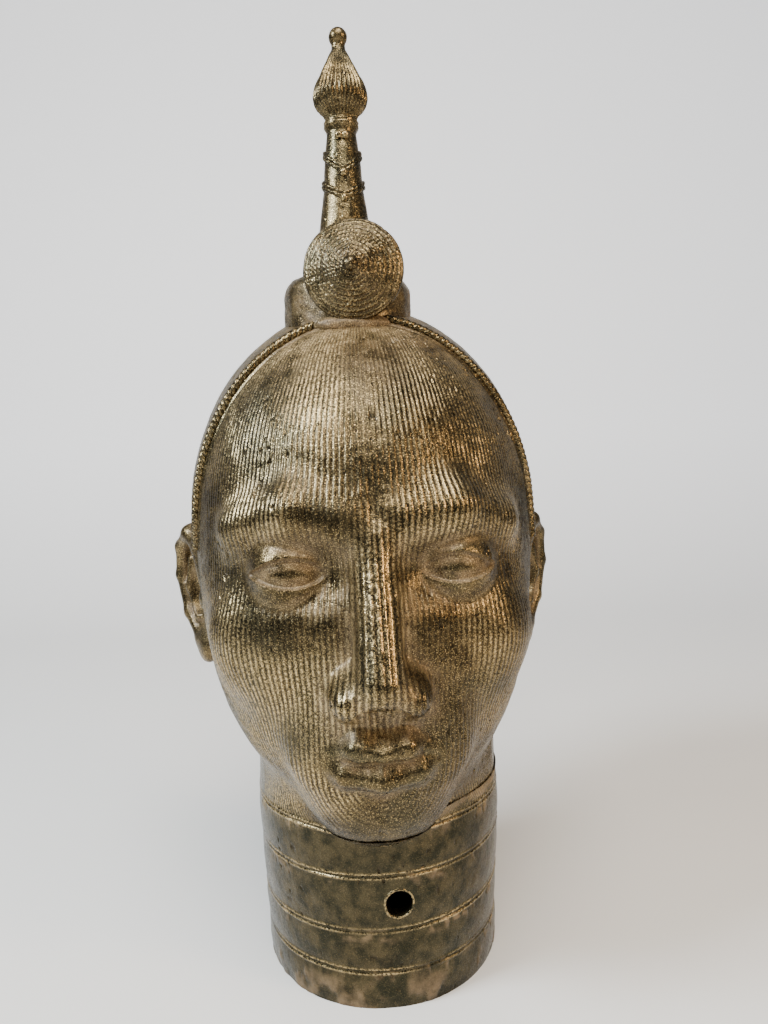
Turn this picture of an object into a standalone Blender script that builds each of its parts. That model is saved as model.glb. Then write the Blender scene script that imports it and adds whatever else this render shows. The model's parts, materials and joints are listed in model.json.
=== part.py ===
"""A life-size head in the Ife manner: one hollow bronze casting with a rope-edged cap,
a rosette and a plume, on a ringed neck that is open below.

Metres, +Z up. The face looks along -Y and the rim of the neck stands on Z = 0.
"""

import math

import bmesh
import bpy
import numpy as np

# Driving sizes
NECK_WIDTH = 0.1085
NECK_DEPTH = 0.1160
NECK_TOP_SPREAD = 0.0028
WALL = 0.0048
HOLE_DIAMETER = 0.0112
HOLE_HEIGHT = 0.0465
HOLE_ASIDE = 0.0040
RING_HEIGHTS = (0.0164, 0.0347, 0.0587, 0.0782)
RING_SLOPES = (0.010, 0.030, 0.015, 0.000)
RING_WIDTH = 0.0030
RING_RISE = 0.0008
BAND_BULGE = 0.0007

CHIN_HEIGHT = 0.0780
HEAD_OFFSET = -0.0027
HEAD_HEIGHT = 0.2225
CAP_RISE = 0.0016
CAP_STEP = 0.0010
ROPE_RADIUS = 0.0023

CREST_OFFSET = -0.0068
CREST_DEPTH = -0.0200
DRUM_RADIUS = 0.0285
DRUM_HEIGHT = 0.0105
DRUM_SHOULDER = 0.0075
ROSETTE_RADIUS = 0.0210
ROSETTE_LIFT = 0.0080
ROSETTE_FORWARD = 0.0260
ROSETTE_RISE = 0.0110
ROSETTE_RIM = 0.0040
ROSETTE_TURN = 8.0
ROSETTE_BEARING = 4.0
STEM_RADIUS = 0.0160
SHAFT_LENGTH = 0.0658
SHAFT_FOOT_RADIUS = 0.0130
SHAFT_TOP_RADIUS = 0.0058
COLLAR_RADIUS = 0.0079
BULB_LENGTH = 0.0298
BULB_RADIUS = 0.0121
BULB_FLUTES = 12
TIP_RADIUS = 0.0041
CORD_RADIUS = 0.0010
CORD_PLACES = (0.815, 0.570)
CORD_DIPS = (0.103, 0.076)
BEAD_RADIUS = 0.0019
WELD = 0.00005

# How finely the casting is laid out, and the share of its facets that is kept where it is plain
COLUMNS = 150
HEAD_ROWS = 120
FACETS_KEPT = 0.117
CORE_COLUMNS = 24
CORE_ROWS = 14
HOLE_SIDES = 24

# The point inside the head from which its surface is laid out, and the tilt of the pole above it
FOCUS = np.array([HEAD_OFFSET, -0.120 * HEAD_HEIGHT, CHIN_HEIGHT + 0.503 * HEAD_HEIGHT])
POLE_TILT = math.radians(6.0)
JOIN_HEIGHT = CHIN_HEIGHT + 0.036 * HEAD_HEIGHT
REACH = 0.76 * HEAD_HEIGHT
CROWN_HEIGHT = CHIN_HEIGHT + HEAD_HEIGHT
DRUM_TOP = CROWN_HEIGHT + DRUM_HEIGHT
HEAD_WALL = 1.15 * WALL


def share(x, y, z):
    """A place on the head, given in shares of the head's height from the chin up."""
    return np.array([x * HEAD_HEIGHT, y * HEAD_HEIGHT, CHIN_HEIGHT + z * HEAD_HEIGHT])


def size(*shares):
    """Lengths given in shares of the head's height."""
    return np.array(shares) * HEAD_HEIGHT


def ease(low, high, value):
    """A smooth step from 0 at low to 1 at high."""
    t = np.clip((value - low) / (high - low), 0.0, 1.0)
    return t * t * (3.0 - 2.0 * t)


def ellipsoid(p, centre, radii):
    """Distance to an ellipsoid, exact on its surface."""
    q = p - centre
    near = np.linalg.norm(q / radii, axis=-1)
    slope = np.linalg.norm(q / radii**2, axis=-1) + 1e-9
    return near * (near - 1.0) / slope


def capsule(p, start, end, start_radius, end_radius):
    """Distance to a rod with round ends, which may taper."""
    along = end - start
    t = np.clip((p - start) @ along / (along @ along), 0.0, 1.0)
    reach = np.linalg.norm(p - start - t[..., None] * along, axis=-1)
    return reach - (start_radius + (end_radius - start_radius) * t)


def chain(p, points, radii, softness):
    """Distance to a row of rods through the points."""
    found = None
    for k in range(len(points) - 1):
        rod = capsule(p, points[k], points[k + 1], radii[k], radii[k + 1])
        found = rod if found is None else join(found, rod, softness)
    return found


def join(a, b, softness):
    """Two forms run together with a fillet."""
    t = np.clip(0.5 + 0.5 * (b - a) / softness, 0.0, 1.0)
    return b + (a - b) * t - softness * t * (1.0 - t)


def carve(a, b, softness):
    """Form a with form b hollowed out of it."""
    return -join(-a, b, softness)


def folded(p):
    """Points as the head's own right side sees them, as the head is alike on both sides."""
    q = p.copy()
    q[:, 0] = np.abs(p[:, 0] - HEAD_OFFSET)
    return q


def skull(p):
    """The plain head: a tall cranium over a narrower jaw."""
    cranium = ellipsoid(p, share(0.0, 0.036, 0.571), size(0.357, 0.436, 0.435))
    jaw = ellipsoid(p, share(0.0, -0.108, 0.312), size(0.295, 0.300, 0.316))
    return join(cranium, jaw, 0.135 * HEAD_HEIGHT)


def neck_radii(z):
    """Half width and half depth of the plain neck at a height."""
    spread = NECK_TOP_SPREAD * ease(0.0, RING_HEIGHTS[-1], z)
    return NECK_WIDTH / 2 + spread, NECK_DEPTH / 2 + spread


def ring_offset(p):
    """How far the neck's rings and the bands between them stand out."""
    offset = np.zeros(len(p))
    levels = [z + slope * p[:, 0] for z, slope in zip(RING_HEIGHTS, RING_SLOPES)]
    for level in levels:
        offset += RING_RISE * np.clip(1.0 - np.abs(p[:, 2] - level) / RING_WIDTH * 2, 0.0, 1.0)
    edges = [np.zeros(len(p))] + levels
    for low, high in zip(edges, edges[1:]):
        t = np.clip((p[:, 2] - low) / (high - low), 0.0, 1.0)
        offset += BAND_BULGE * 4.0 * t * (1.0 - t)
    return offset


def neck(p, inset=0.0):
    """Distance to the oval neck, which runs up into the head and on below the rim."""
    half_width, half_depth = neck_radii(p[:, 2])
    half_width = half_width - inset
    half_depth = half_depth - inset
    reach = np.hypot(p[:, 0] / half_width, p[:, 1] / half_depth)
    side = (reach - 1.0) * np.minimum(half_width, half_depth)
    return np.maximum(side, p[:, 2] - share(0, 0, 0.42)[2])


def eyes(p):
    """Both eyeballs behind their lids, with an almond opening."""
    centre = share(0.140, -0.318, 0.497)
    half_width, upper, lower = size(0.072, 0.027, 0.020)
    ball = ellipsoid(p, centre, np.full(3, 0.068 * HEAD_HEIGHT))
    lids = ellipsoid(p, centre, np.full(3, 0.0765 * HEAD_HEIGHT))
    across = (p[:, 0] - centre[0]) / half_width
    height = p[:, 2] - centre[2]
    bow = 1.0 - across**2
    opening = np.maximum(height - upper * bow, -height - lower * bow)
    lids = carve(lids, opening, 0.0070 * HEAD_HEIGHT)
    return join(ball, lids, 0.0040 * HEAD_HEIGHT)


def nose(p):
    """The bridge, tip and wings of the nose."""
    bridge = capsule(
        p, share(0, -0.388, 0.545), share(0, -0.462, 0.330), *size(0.029, 0.041)
    )
    wing = ellipsoid(p, share(0.052, -0.428, 0.300), size(0.034, 0.052, 0.034))
    return join(bridge, wing, 0.030 * HEAD_HEIGHT)


def lips(p):
    """Two full lips that meet in a level line."""
    corner = share(0.112, -0.374, 0.191)
    upper = chain(
        p,
        [corner, share(0.040, -0.418, 0.214), share(0.0, -0.424, 0.205)],
        size(0.007, 0.020, 0.018),
        0.018 * HEAD_HEIGHT,
    )
    lower = chain(
        p,
        [corner, share(0.060, -0.406, 0.170), share(0.0, -0.420, 0.162)],
        size(0.006, 0.021, 0.025),
        0.018 * HEAD_HEIGHT,
    )
    return join(upper, lower, 0.0054 * HEAD_HEIGHT)


def ear(p):
    """An ear with a rolled rim, a hollow and a lobe."""
    root = share(0.345, -0.020, 0.425)
    back = np.array([0.42, 0.90, -0.12])
    back = back / np.linalg.norm(back)
    out = np.array([0.90, -0.42, 0.0])
    out = out - (out @ back) * back
    out = out / np.linalg.norm(out)
    up = np.cross(out, back)
    up = up if up[2] > 0 else -up
    q = (p - root) @ np.stack([back, up, out], axis=1)

    def local(b, u, o):
        return size(b, u, o)

    plate = ellipsoid(q, local(0.010, 0.010, -0.012), size(0.070, 0.115, 0.024))
    rim = chain(
        q,
        [
            local(-0.044, 0.020, 0.004),
            local(-0.034, 0.088, 0.010),
            local(0.012, 0.122, 0.014),
            local(0.056, 0.096, 0.018),
            local(0.068, 0.035, 0.020),
            local(0.050, -0.045, 0.014),
            local(0.010, -0.098, 0.006),
        ],
        size(0.014, 0.017, 0.018, 0.018, 0.017, 0.016, 0.014),
        0.009 * HEAD_HEIGHT,
    )
    lobe = ellipsoid(q, local(-0.014, -0.116, 0.002), size(0.034, 0.036, 0.020))
    fold = chain(
        q,
        [local(0.022, 0.066, 0.010), local(0.032, 0.010, 0.012), local(0.004, -0.052, 0.008)],
        size(0.011, 0.014, 0.013),
        0.009 * HEAD_HEIGHT,
    )
    hollow = ellipsoid(q, local(-0.006, 0.000, 0.014), size(0.026, 0.046, 0.026))
    flap = ellipsoid(q, local(-0.040, -0.018, 0.006), size(0.014, 0.022, 0.014))
    form = join(plate, rim, 0.0135 * HEAD_HEIGHT)
    form = join(form, lobe, 0.0225 * HEAD_HEIGHT)
    form = join(form, fold, 0.0112 * HEAD_HEIGHT)
    form = carve(form, hollow, 0.0135 * HEAD_HEIGHT)
    return join(form, flap, 0.009 * HEAD_HEIGHT)


def band_plane(p):
    """How far a point is behind the plane of the cap's front edge."""
    slope = math.tan(POLE_TILT)
    return (p[:, 1] - FOCUS[1] + (p[:, 2] - FOCUS[2]) * slope) * math.cos(POLE_TILT)


def cap_edge_height(y):
    """Height of the cap's lower edge, which drops behind the ear to the nape."""
    return share(0, 0, 0.550)[2] - ease(*size(0.085, 0.300), y) * 0.335 * HEAD_HEIGHT


def cap_cover(p):
    """1 on the cap, 0 off it, with a narrow step between."""
    behind = ease(-CAP_STEP, CAP_STEP, band_plane(p))
    above = ease(-CAP_STEP, CAP_STEP, p[:, 2] - cap_edge_height(p[:, 1]))
    return behind * above


def head_form(p):
    """Distance to the whole outside of the head and neck."""
    q = folded(p)
    form = skull(q)
    chin = ellipsoid(q, share(0, -0.308, 0.078), size(0.105, 0.080, 0.072))
    form = join(form, chin, 0.110 * HEAD_HEIGHT)
    cheek = ellipsoid(q, share(0.190, -0.262, 0.370), size(0.085, 0.080, 0.078))
    form = join(form, cheek, 0.080 * HEAD_HEIGHT)
    socket = ellipsoid(q, share(0.132, -0.428, 0.500), size(0.082, 0.060, 0.044))
    form = carve(form, socket, 0.060 * HEAD_HEIGHT)
    brow = chain(
        q,
        [share(0.045, -0.376, 0.583), share(0.140, -0.362, 0.600), share(0.240, -0.285, 0.572)],
        size(0.014, 0.017, 0.012),
        0.045 * HEAD_HEIGHT,
    )
    form = join(form, brow, 0.070 * HEAD_HEIGHT)
    form = join(form, nose(q), 0.030 * HEAD_HEIGHT)
    nostril = ellipsoid(q, share(0.030, -0.452, 0.268), size(0.016, 0.028, 0.020))
    form = carve(form, nostril, 0.010 * HEAD_HEIGHT)
    form = join(form, eyes(q), 0.010 * HEAD_HEIGHT)
    mouth = ellipsoid(q, share(0, -0.345, 0.195), size(0.150, 0.066, 0.100))
    form = join(form, mouth, 0.060 * HEAD_HEIGHT)
    groove = capsule(q, share(0, -0.426, 0.262), share(0, -0.432, 0.232), *size(0.010, 0.013))
    form = carve(form, groove, 0.016 * HEAD_HEIGHT)
    form = join(form, lips(q), 0.012 * HEAD_HEIGHT)
    form = join(form, neck(p) - ring_offset(p), 0.040 * HEAD_HEIGHT)
    form = form - CAP_RISE * cap_cover(q)
    return join(form, ear(q), 0.018 * HEAD_HEIGHT)


def core_form(p):
    """Distance to the hollow inside: the head and neck less the wall, blunt behind the face."""
    head = carve(skull(folded(p)) + HEAD_WALL, p[:, 1] + 0.335 * HEAD_HEIGHT, 0.060 * HEAD_HEIGHT)
    return join(head, neck(p, WALL), 0.060 * HEAD_HEIGHT)


def meet(form, origins, directions, reach=REACH):
    """The outermost points where rays from inside meet a form."""
    travel = np.full(len(origins), reach)
    for _ in range(45):
        gap = form(origins + directions * travel[:, None])
        travel = np.maximum(travel - 0.85 * gap, 0.0)
    return origins + directions * travel[:, None]


def spaced(count, low, high, density):
    """Values from low to high, closer together where the density is higher."""
    fine = np.linspace(low, high, 2001)
    total = np.concatenate([[0.0], np.cumsum(density((fine[1:] + fine[:-1]) / 2))])
    return np.interp(np.linspace(0.0, total[-1], count), total, fine)


def tilted(points):
    """Angle round the tilted pole and angle from it, for points seen from above the neck's axis."""
    q = points - FOCUS * np.array([0.0, 1.0, 1.0])
    pole = np.array([0.0, -math.sin(POLE_TILT), math.cos(POLE_TILT)])
    front = np.array([0.0, -math.cos(POLE_TILT), -math.sin(POLE_TILT)])
    turn = np.arctan2(q[:, 0], q @ front)
    fall = np.arccos(np.clip(q @ pole / np.linalg.norm(q, axis=1), -1.0, 1.0))
    return turn, fall


def ray(turn, fall):
    """Direction from the focus for an angle round the tilted pole and one from it."""
    pole = np.array([0.0, -math.sin(POLE_TILT), math.cos(POLE_TILT)])
    front = np.array([0.0, -math.cos(POLE_TILT), -math.sin(POLE_TILT)])
    side = np.array([1.0, 0.0, 0.0])
    flat = np.cos(turn)[..., None] * front + np.sin(turn)[..., None] * side
    return np.cos(fall)[..., None] * pole + np.sin(fall)[..., None] * flat


def neck_turns(turns):
    """Angles round the neck that carry on the head's columns, and the fall that reaches it."""
    around = np.linspace(-math.pi, math.pi, 721)
    half_width, half_depth = neck_radii(JOIN_HEIGHT)
    points = np.stack(
        [half_width * np.sin(around), -half_depth * np.cos(around), np.full(721, JOIN_HEIGHT)],
        axis=1,
    )
    seen, falls = tilted(points)
    seen[0], seen[-1] = -math.pi, math.pi
    return np.interp(turns, seen, around), np.interp(turns, seen, falls)


def column_density(turn):
    """Columns crowd at the middle of the face and at the ears."""
    degrees = np.abs(np.degrees(turn))
    face = 2.2 * np.exp(-((degrees / 30.0) ** 2))
    ears = 0.9 * np.exp(-(((degrees - 100.0) / 16.0) ** 2))
    return 0.55 + face + ears


def row_density(t):
    """Rows crowd between the brow and the chin."""
    return 0.55 + 1.1 * np.exp(-(((t - 0.66) / 0.20) ** 2))


def neck_levels():
    """Heights of the neck's rows, with one at the foot, crest and foot of every ring."""
    rows = []
    for height, slope in zip(reversed(RING_HEIGHTS), reversed(RING_SLOPES)):
        rows += [(height + RING_WIDTH / 2, slope), (height, slope), (height - RING_WIDTH / 2, slope)]
    for upper, lower in zip(rows[2:-1:3], rows[3::3]):
        rows += [((upper[0] + lower[0]) / 2, (upper[1] + lower[1]) / 2)]
    rows += [(RING_HEIGHTS[0] / 2, 0.0), (0.0, 0.0), (-WALL, 0.0)]
    return sorted(rows, reverse=True)


def shell_points(form, columns, head_rows, levels):
    """Rings of points down a head and neck form, from under the crest to the rim."""
    turns = spaced(columns + 1, -math.pi, math.pi, column_density)[:-1]
    around, falls = neck_turns(turns)
    steps = spaced(head_rows + 1, 0.0, 1.0, row_density)[1:]
    directions = np.stack([ray(turns, t * falls) for t in steps])
    origins = np.tile(FOCUS, (head_rows * columns, 1))
    rings = list(meet(form, origins, directions.reshape(-1, 3)).reshape(directions.shape))
    flat = np.stack([np.sin(around), -np.cos(around), np.zeros(columns)], axis=1)
    spread = np.array([neck_radii(0.0)[0] * 1.04, neck_radii(0.0)[1] * 1.04, 0.0])
    for height, slope in levels:
        origins = np.zeros((columns, 3))
        origins[:, 2] = height + slope * flat[:, 0] * spread[0]
        rings.append(meet(form, origins, flat, 0.80 * NECK_DEPTH))
    return rings


def loft(name, rings, top):
    """A closed solid through rings of points, with a point on top and a flat end below."""
    mesh = bmesh.new()
    crown = mesh.verts.new(top)
    rows = [[mesh.verts.new(point) for point in ring] for ring in rings]
    count = len(rows[0])
    for k in range(count):
        after = (k + 1) % count
        mesh.faces.new((crown, rows[0][k], rows[0][after]))
        for upper, lower in zip(rows, rows[1:]):
            mesh.faces.new((upper[k], lower[k], lower[after], upper[after]))
    mesh.faces.new(rows[-1][::-1])
    bmesh.ops.recalc_face_normals(mesh, faces=mesh.faces)
    return finish_mesh(name, mesh)


def finish_mesh(name, mesh):
    """An object from a finished bmesh."""
    bmesh.ops.triangulate(mesh, faces=mesh.faces)
    data = bpy.data.meshes.new(name)
    mesh.to_mesh(data)
    mesh.free()
    return bpy.data.objects.new(name, data)


def turned(name, profile, sides, place, flutes=0, flute_depth=0.0, flute_span=(0.0, 1.0)):
    """A solid of revolution about Z from (radius, height) pairs, top first, with optional flutes."""
    mesh = bmesh.new()
    rows = []
    for radius, height in profile:
        low, high = flute_span
        within = ease(low, low + 0.14 * (high - low), height)
        within = within * (1.0 - ease(high - 0.42 * (high - low), high, height))
        row = []
        for k in range(sides):
            angle = 2.0 * math.pi * k / sides
            reach = radius
            if flutes:
                reach -= flute_depth * within * (0.5 + 0.5 * math.cos(flutes * angle))
            row.append(mesh.verts.new((reach * math.sin(angle), -reach * math.cos(angle), height)))
        rows.append(row)
    for upper, lower in zip(rows, rows[1:]):
        for k in range(sides):
            after = (k + 1) % sides
            mesh.faces.new((upper[k], lower[k], lower[after], upper[after]))
    mesh.faces.new(rows[0])
    mesh.faces.new(rows[-1][::-1])
    bmesh.ops.recalc_face_normals(mesh, faces=mesh.faces)
    piece = finish_mesh(name, mesh)
    piece.location = place
    return piece


def tube(name, points, radius, sides, closed=False):
    """A round rod along points, made from a bevelled curve and closed at its ends."""
    curve = bpy.data.curves.new(name, "CURVE")
    curve.dimensions = "3D"
    curve.bevel_depth = radius
    curve.bevel_resolution = max(sides // 4, 1)
    curve.use_fill_caps = not closed
    spline = curve.splines.new("POLY")
    spline.points.add(len(points) - 1)
    for knot, point in zip(spline.points, points):
        knot.co = (*point, 1.0)
    spline.use_cyclic_u = closed
    holder = bpy.data.objects.new(name + "_path", curve)
    bpy.context.scene.collection.objects.link(holder)
    graph = bpy.context.evaluated_depsgraph_get()
    data = bpy.data.meshes.new_from_object(holder.evaluated_get(graph))
    bpy.data.objects.remove(holder)
    mesh = bmesh.new()
    mesh.from_mesh(data)
    bmesh.ops.remove_doubles(mesh, verts=mesh.verts, dist=WELD)
    bmesh.ops.recalc_face_normals(mesh, faces=mesh.faces)
    bpy.data.meshes.remove(data)
    return finish_mesh(name, mesh)


def on_head(points, sink):
    """Points moved in or out onto the head's surface, and sunk a little into it."""
    q = points - FOCUS
    directions = q / np.linalg.norm(q, axis=1)[:, None]
    origins = np.tile(FOCUS, (len(points), 1))
    landed = meet(lambda p: skull(folded(p)) - CAP_RISE / 2, origins, directions)
    return landed - directions * sink


def front_rope():
    """The cap's front edge: a rope from ear to ear over the brow."""
    falls = np.radians(np.linspace(-87.0, 87.0, 33))
    turns = np.where(falls < 0, -math.pi / 2, math.pi / 2)
    points = FOCUS + ray(turns, np.abs(falls)) * 0.1
    return tube("front_rope", on_head(points, 0.35 * ROPE_RADIUS), ROPE_RADIUS, 6)


def rear_rope():
    """The cap's lower edge: the same rope from ear to ear round the nape."""
    around = np.radians(np.linspace(-83.0, 83.0, 29))
    reach_x, reach_y = size(0.352, 0.45)
    x = HEAD_OFFSET + reach_x * np.sin(around)
    y = reach_y * np.cos(around)
    points = np.stack([x, y, cap_edge_height(y)], axis=1)
    for _ in range(4):
        points = on_head(points, 0.35 * ROPE_RADIUS)
        points[:, 2] = cap_edge_height(points[:, 1])
    return tube("rear_rope", points, ROPE_RADIUS, 6)


def drum():
    """The low round boss on the crown that carries the plume."""
    foot = share(0, 0, 0.90)[2]
    arc = [math.radians(a) for a in (75, 55, 35, 15, 0)]
    profile = [(SHAFT_FOOT_RADIUS, DRUM_TOP + 0.1 * DRUM_HEIGHT)]
    profile += [
        (
            DRUM_RADIUS - DRUM_SHOULDER + DRUM_SHOULDER * math.cos(a),
            DRUM_TOP - DRUM_SHOULDER + DRUM_SHOULDER * math.sin(a),
        )
        for a in arc
    ]
    profile += [(DRUM_RADIUS, foot)]
    place = (CREST_OFFSET, CREST_DEPTH + 0.2 * DRUM_RADIUS, 0)
    return turned("drum", profile, 24, place)


def before_crest(forward, height):
    """A place in front of the plume, on the line that leads out to the rosette."""
    bearing = math.radians(ROSETTE_BEARING)
    x = CREST_OFFSET + forward * math.sin(bearing)
    return (x, CREST_DEPTH - forward * math.cos(bearing), height)


def rosette():
    """A stepped cone that faces forward, on a short stem that runs back into the shaft."""
    steps = 5
    boss = 0.15 * ROSETTE_RADIUS
    ring = (0.97 * ROSETTE_RADIUS - boss) / steps
    profile = [(0.5 * boss, 1.10 * ROSETTE_RISE), (boss, ROSETTE_RISE)]
    for k in range(steps):
        high = ROSETTE_RISE * (0.95 - 0.92 * (k + 0.3) / steps)
        profile += [(boss + ring * k, high - 0.08 * ROSETTE_RISE)]
        profile += [(boss + ring * (k + 0.5), high)]
    profile += [(0.98 * ROSETTE_RADIUS, 0.0), (ROSETTE_RADIUS, -0.25 * ROSETTE_RIM)]
    profile += [(0.96 * ROSETTE_RADIUS, -ROSETTE_RIM), (STEM_RADIUS, -1.3 * ROSETTE_RIM)]
    profile += [(STEM_RADIUS, -0.75 * ROSETTE_FORWARD)]
    place = before_crest(ROSETTE_FORWARD, CROWN_HEIGHT + ROSETTE_LIFT)
    piece = turned("rosette", profile, 24, place)
    piece.rotation_euler = (math.radians(90.0), 0.0, math.radians(-ROSETTE_TURN))
    return piece


def rosette_seat():
    """The rough lump of metal that joins the foot of the rosette to the cap."""
    mesh = bmesh.new()
    bmesh.ops.create_uvsphere(mesh, u_segments=16, v_segments=8, radius=1.0)
    radii = np.array([0.78, 0.34, 0.24]) * ROSETTE_RADIUS
    bmesh.ops.scale(mesh, vec=radii, verts=mesh.verts)
    piece = finish_mesh("rosette_seat", mesh)
    low = CROWN_HEIGHT + ROSETTE_LIFT - 1.02 * ROSETTE_RADIUS
    piece.location = before_crest(ROSETTE_FORWARD - 1.7 * ROSETTE_RIM, low)
    return piece


def plume_rows():
    """Radius and height of the plume from its tip down to its foot in the drum."""
    collar = DRUM_TOP + SHAFT_LENGTH
    bulb = collar + 0.17 * BULB_LENGTH
    ball = bulb + BULB_LENGTH + 0.75 * TIP_RADIUS
    rows = [(0.2 * TIP_RADIUS, ball + TIP_RADIUS)]
    for degrees in (40, 75, 105, 135):
        angle = math.radians(degrees)
        rows += [(TIP_RADIUS * math.sin(angle), ball + TIP_RADIUS * math.cos(angle))]
    shape = ((0.30, 0.90), (0.50, 0.72), (0.74, 0.53), (0.95, 0.36), (1.0, 0.24), (0.93, 0.13))
    rows += [(wide * BULB_RADIUS, bulb + high * BULB_LENGTH) for wide, high in shape]
    rows += [(0.72 * BULB_RADIUS, bulb + 0.03 * BULB_LENGTH)]
    rows += [(0.86 * COLLAR_RADIUS, bulb)]
    rows += [(COLLAR_RADIUS, collar + side * 0.15 * COLLAR_RADIUS) for side in (1, -1)]
    shape = ((0.95, 0.08), (0.815, 0.25), (0.735, 0.31), (0.57, 0.42), (0.40, 0.66), (0.12, 1.0))
    spread = SHAFT_FOOT_RADIUS - SHAFT_TOP_RADIUS
    for high, wide in shape:
        rows += [(SHAFT_TOP_RADIUS + wide * spread, DRUM_TOP + high * SHAFT_LENGTH)]
    return rows + [(SHAFT_FOOT_RADIUS, DRUM_TOP - DRUM_HEIGHT)]


def plume():
    """The upright plume: shaft, collar, fluted bulb and round tip."""
    bulb = DRUM_TOP + SHAFT_LENGTH + 0.17 * BULB_LENGTH
    span = (bulb, bulb + 0.95 * BULB_LENGTH)
    place = (CREST_OFFSET, CREST_DEPTH, 0)
    depth = 0.10 * BULB_RADIUS
    return turned("plume", plume_rows(), 2 * BULB_FLUTES, place, BULB_FLUTES, depth, span)


def shaft_radius(height):
    """The plume's radius at a height on its shaft."""
    rows = sorted((high, wide) for wide, high in plume_rows())
    return float(np.interp(height, [high for high, _ in rows], [wide for _, wide in rows]))


def neck_cord(height, dip):
    """A cord round the plume's shaft that dips to a point in front."""
    angles = np.radians(np.arange(0, 360, 22.5))
    front = np.clip(1.0 - np.abs((angles + math.pi) % (2 * math.pi) - math.pi) / (math.pi / 2), 0, 1)
    heights = height - dip * front
    reach = np.array([shaft_radius(h) for h in heights]) + 0.2 * CORD_RADIUS
    x = CREST_OFFSET + reach * np.sin(angles)
    y = CREST_DEPTH - reach * np.cos(angles)
    return tube("cord", np.stack([x, y, heights], axis=1), CORD_RADIUS, 6, closed=True)


def bead(height):
    """A bead on the front of the plume's shaft."""
    mesh = bmesh.new()
    bmesh.ops.create_icosphere(mesh, subdivisions=1, radius=BEAD_RADIUS)
    piece = finish_mesh("bead", mesh)
    piece.location = (CREST_OFFSET, CREST_DEPTH - shaft_radius(height), height)
    return piece


def ground():
    """Everything below the plane that the rim stands on."""
    mesh = bmesh.new()
    bmesh.ops.create_cube(mesh, size=2.0 * NECK_DEPTH)
    piece = finish_mesh("ground", mesh)
    piece.location = (0.0, 0.0, -NECK_DEPTH)
    return piece


def cylinder(name, radius, length, sides, place, rotation):
    """A plain cylinder."""
    mesh = bmesh.new()
    bmesh.ops.create_cone(
        mesh, cap_ends=True, segments=sides, radius1=radius, radius2=radius, depth=length
    )
    piece = finish_mesh(name, mesh)
    piece.location = place
    piece.rotation_euler = rotation
    return piece


def bronze():
    """Dark olive-brown patina over brass-coloured metal."""
    material = bpy.data.materials.new("bronze_patina")
    material.use_nodes = True
    shader = material.node_tree.nodes["Principled BSDF"]
    shader.inputs["Base Color"].default_value = (0.105, 0.083, 0.048, 1.0)
    shader.inputs["Metallic"].default_value = 0.75
    shader.inputs["Roughness"].default_value = 0.48
    material.diffuse_color = (0.20, 0.165, 0.10, 1.0)
    return material


def combine(target, pieces, operation, name):
    """Each piece joined to the target, or cut out of it, in turn."""
    forms = bpy.data.collections.new(name)
    bpy.context.scene.collection.children.link(forms)
    for piece in pieces:
        forms.objects.link(piece)
        piece.hide_render = True
        piece.display_type = "WIRE"
        boolean = target.modifiers.new(piece.name, "BOOLEAN")
        boolean.operation = operation
        boolean.solver = "EXACT"
        boolean.object = piece


def build():
    """The casting, whole."""
    for item in list(bpy.data.objects):
        bpy.data.objects.remove(item)
    scene = bpy.context.scene
    parts = bpy.data.collections.new("ife_bronze_head")
    scene.collection.children.link(parts)

    outside = shell_points(head_form, COLUMNS, HEAD_ROWS, neck_levels())
    top = meet(head_form, FOCUS[None], ray(np.zeros(1), np.zeros(1)))[0]
    head = loft("head", outside, top)
    parts.objects.link(head)
    thin = head.modifiers.new("fewer_facets", "DECIMATE")
    thin.ratio = FACETS_KEPT

    bore = [(part * CHIN_HEIGHT, 0.0) for part in (0.90, 0.58, 0.26, -0.13)]
    inside = shell_points(core_form, CORE_COLUMNS, CORE_ROWS, bore)
    core_top = meet(core_form, FOCUS[None], ray(np.zeros(1), np.zeros(1)))[0]
    core = loft("core", inside, core_top)

    hole = cylinder(
        "neck_hole",
        HOLE_DIAMETER / 2,
        6 * WALL,
        HOLE_SIDES,
        (HOLE_ASIDE, -NECK_DEPTH / 2, HOLE_HEIGHT),
        (math.radians(90.0), 0.0, 0.0),
    )
    crest = plume()
    details = [drum(), rosette_seat(), rosette()]
    for place, dip in zip(CORD_PLACES, CORD_DIPS):
        height = DRUM_TOP + place * SHAFT_LENGTH
        drop = dip * SHAFT_LENGTH
        details += [neck_cord(height, drop), bead(height - drop - 0.4 * BEAD_RADIUS)]
    details += [bead(DRUM_TOP + 0.92 * SHAFT_LENGTH)]
    combine(crest, details, "UNION", "crest_details")
    combine(head, [core, hole, ground()], "DIFFERENCE", "hollows")
    combine(head, [front_rope(), rear_rope(), crest], "UNION", "additions")

    spread = np.concatenate(outside)
    middle = (spread.min(axis=0) + spread.max(axis=0)) / 2
    for item in bpy.data.objects:
        item.location.x -= middle[0]
        item.location.y -= middle[1]
    head.data.materials.append(bronze())
    head.data.shade_smooth()
    head.data.set_sharp_from_angle(angle=math.radians(40.0))


build()
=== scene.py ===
"""A life-size head in the Ife manner, in patinated bronze: the detailed surfaces over the casting.

Metres, +Z up. The face looks along -Y and the rim of the neck stands on Z = 0.
"""

import json
import math

import bpy
import numpy as np
from mathutils import Matrix, Vector

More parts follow.
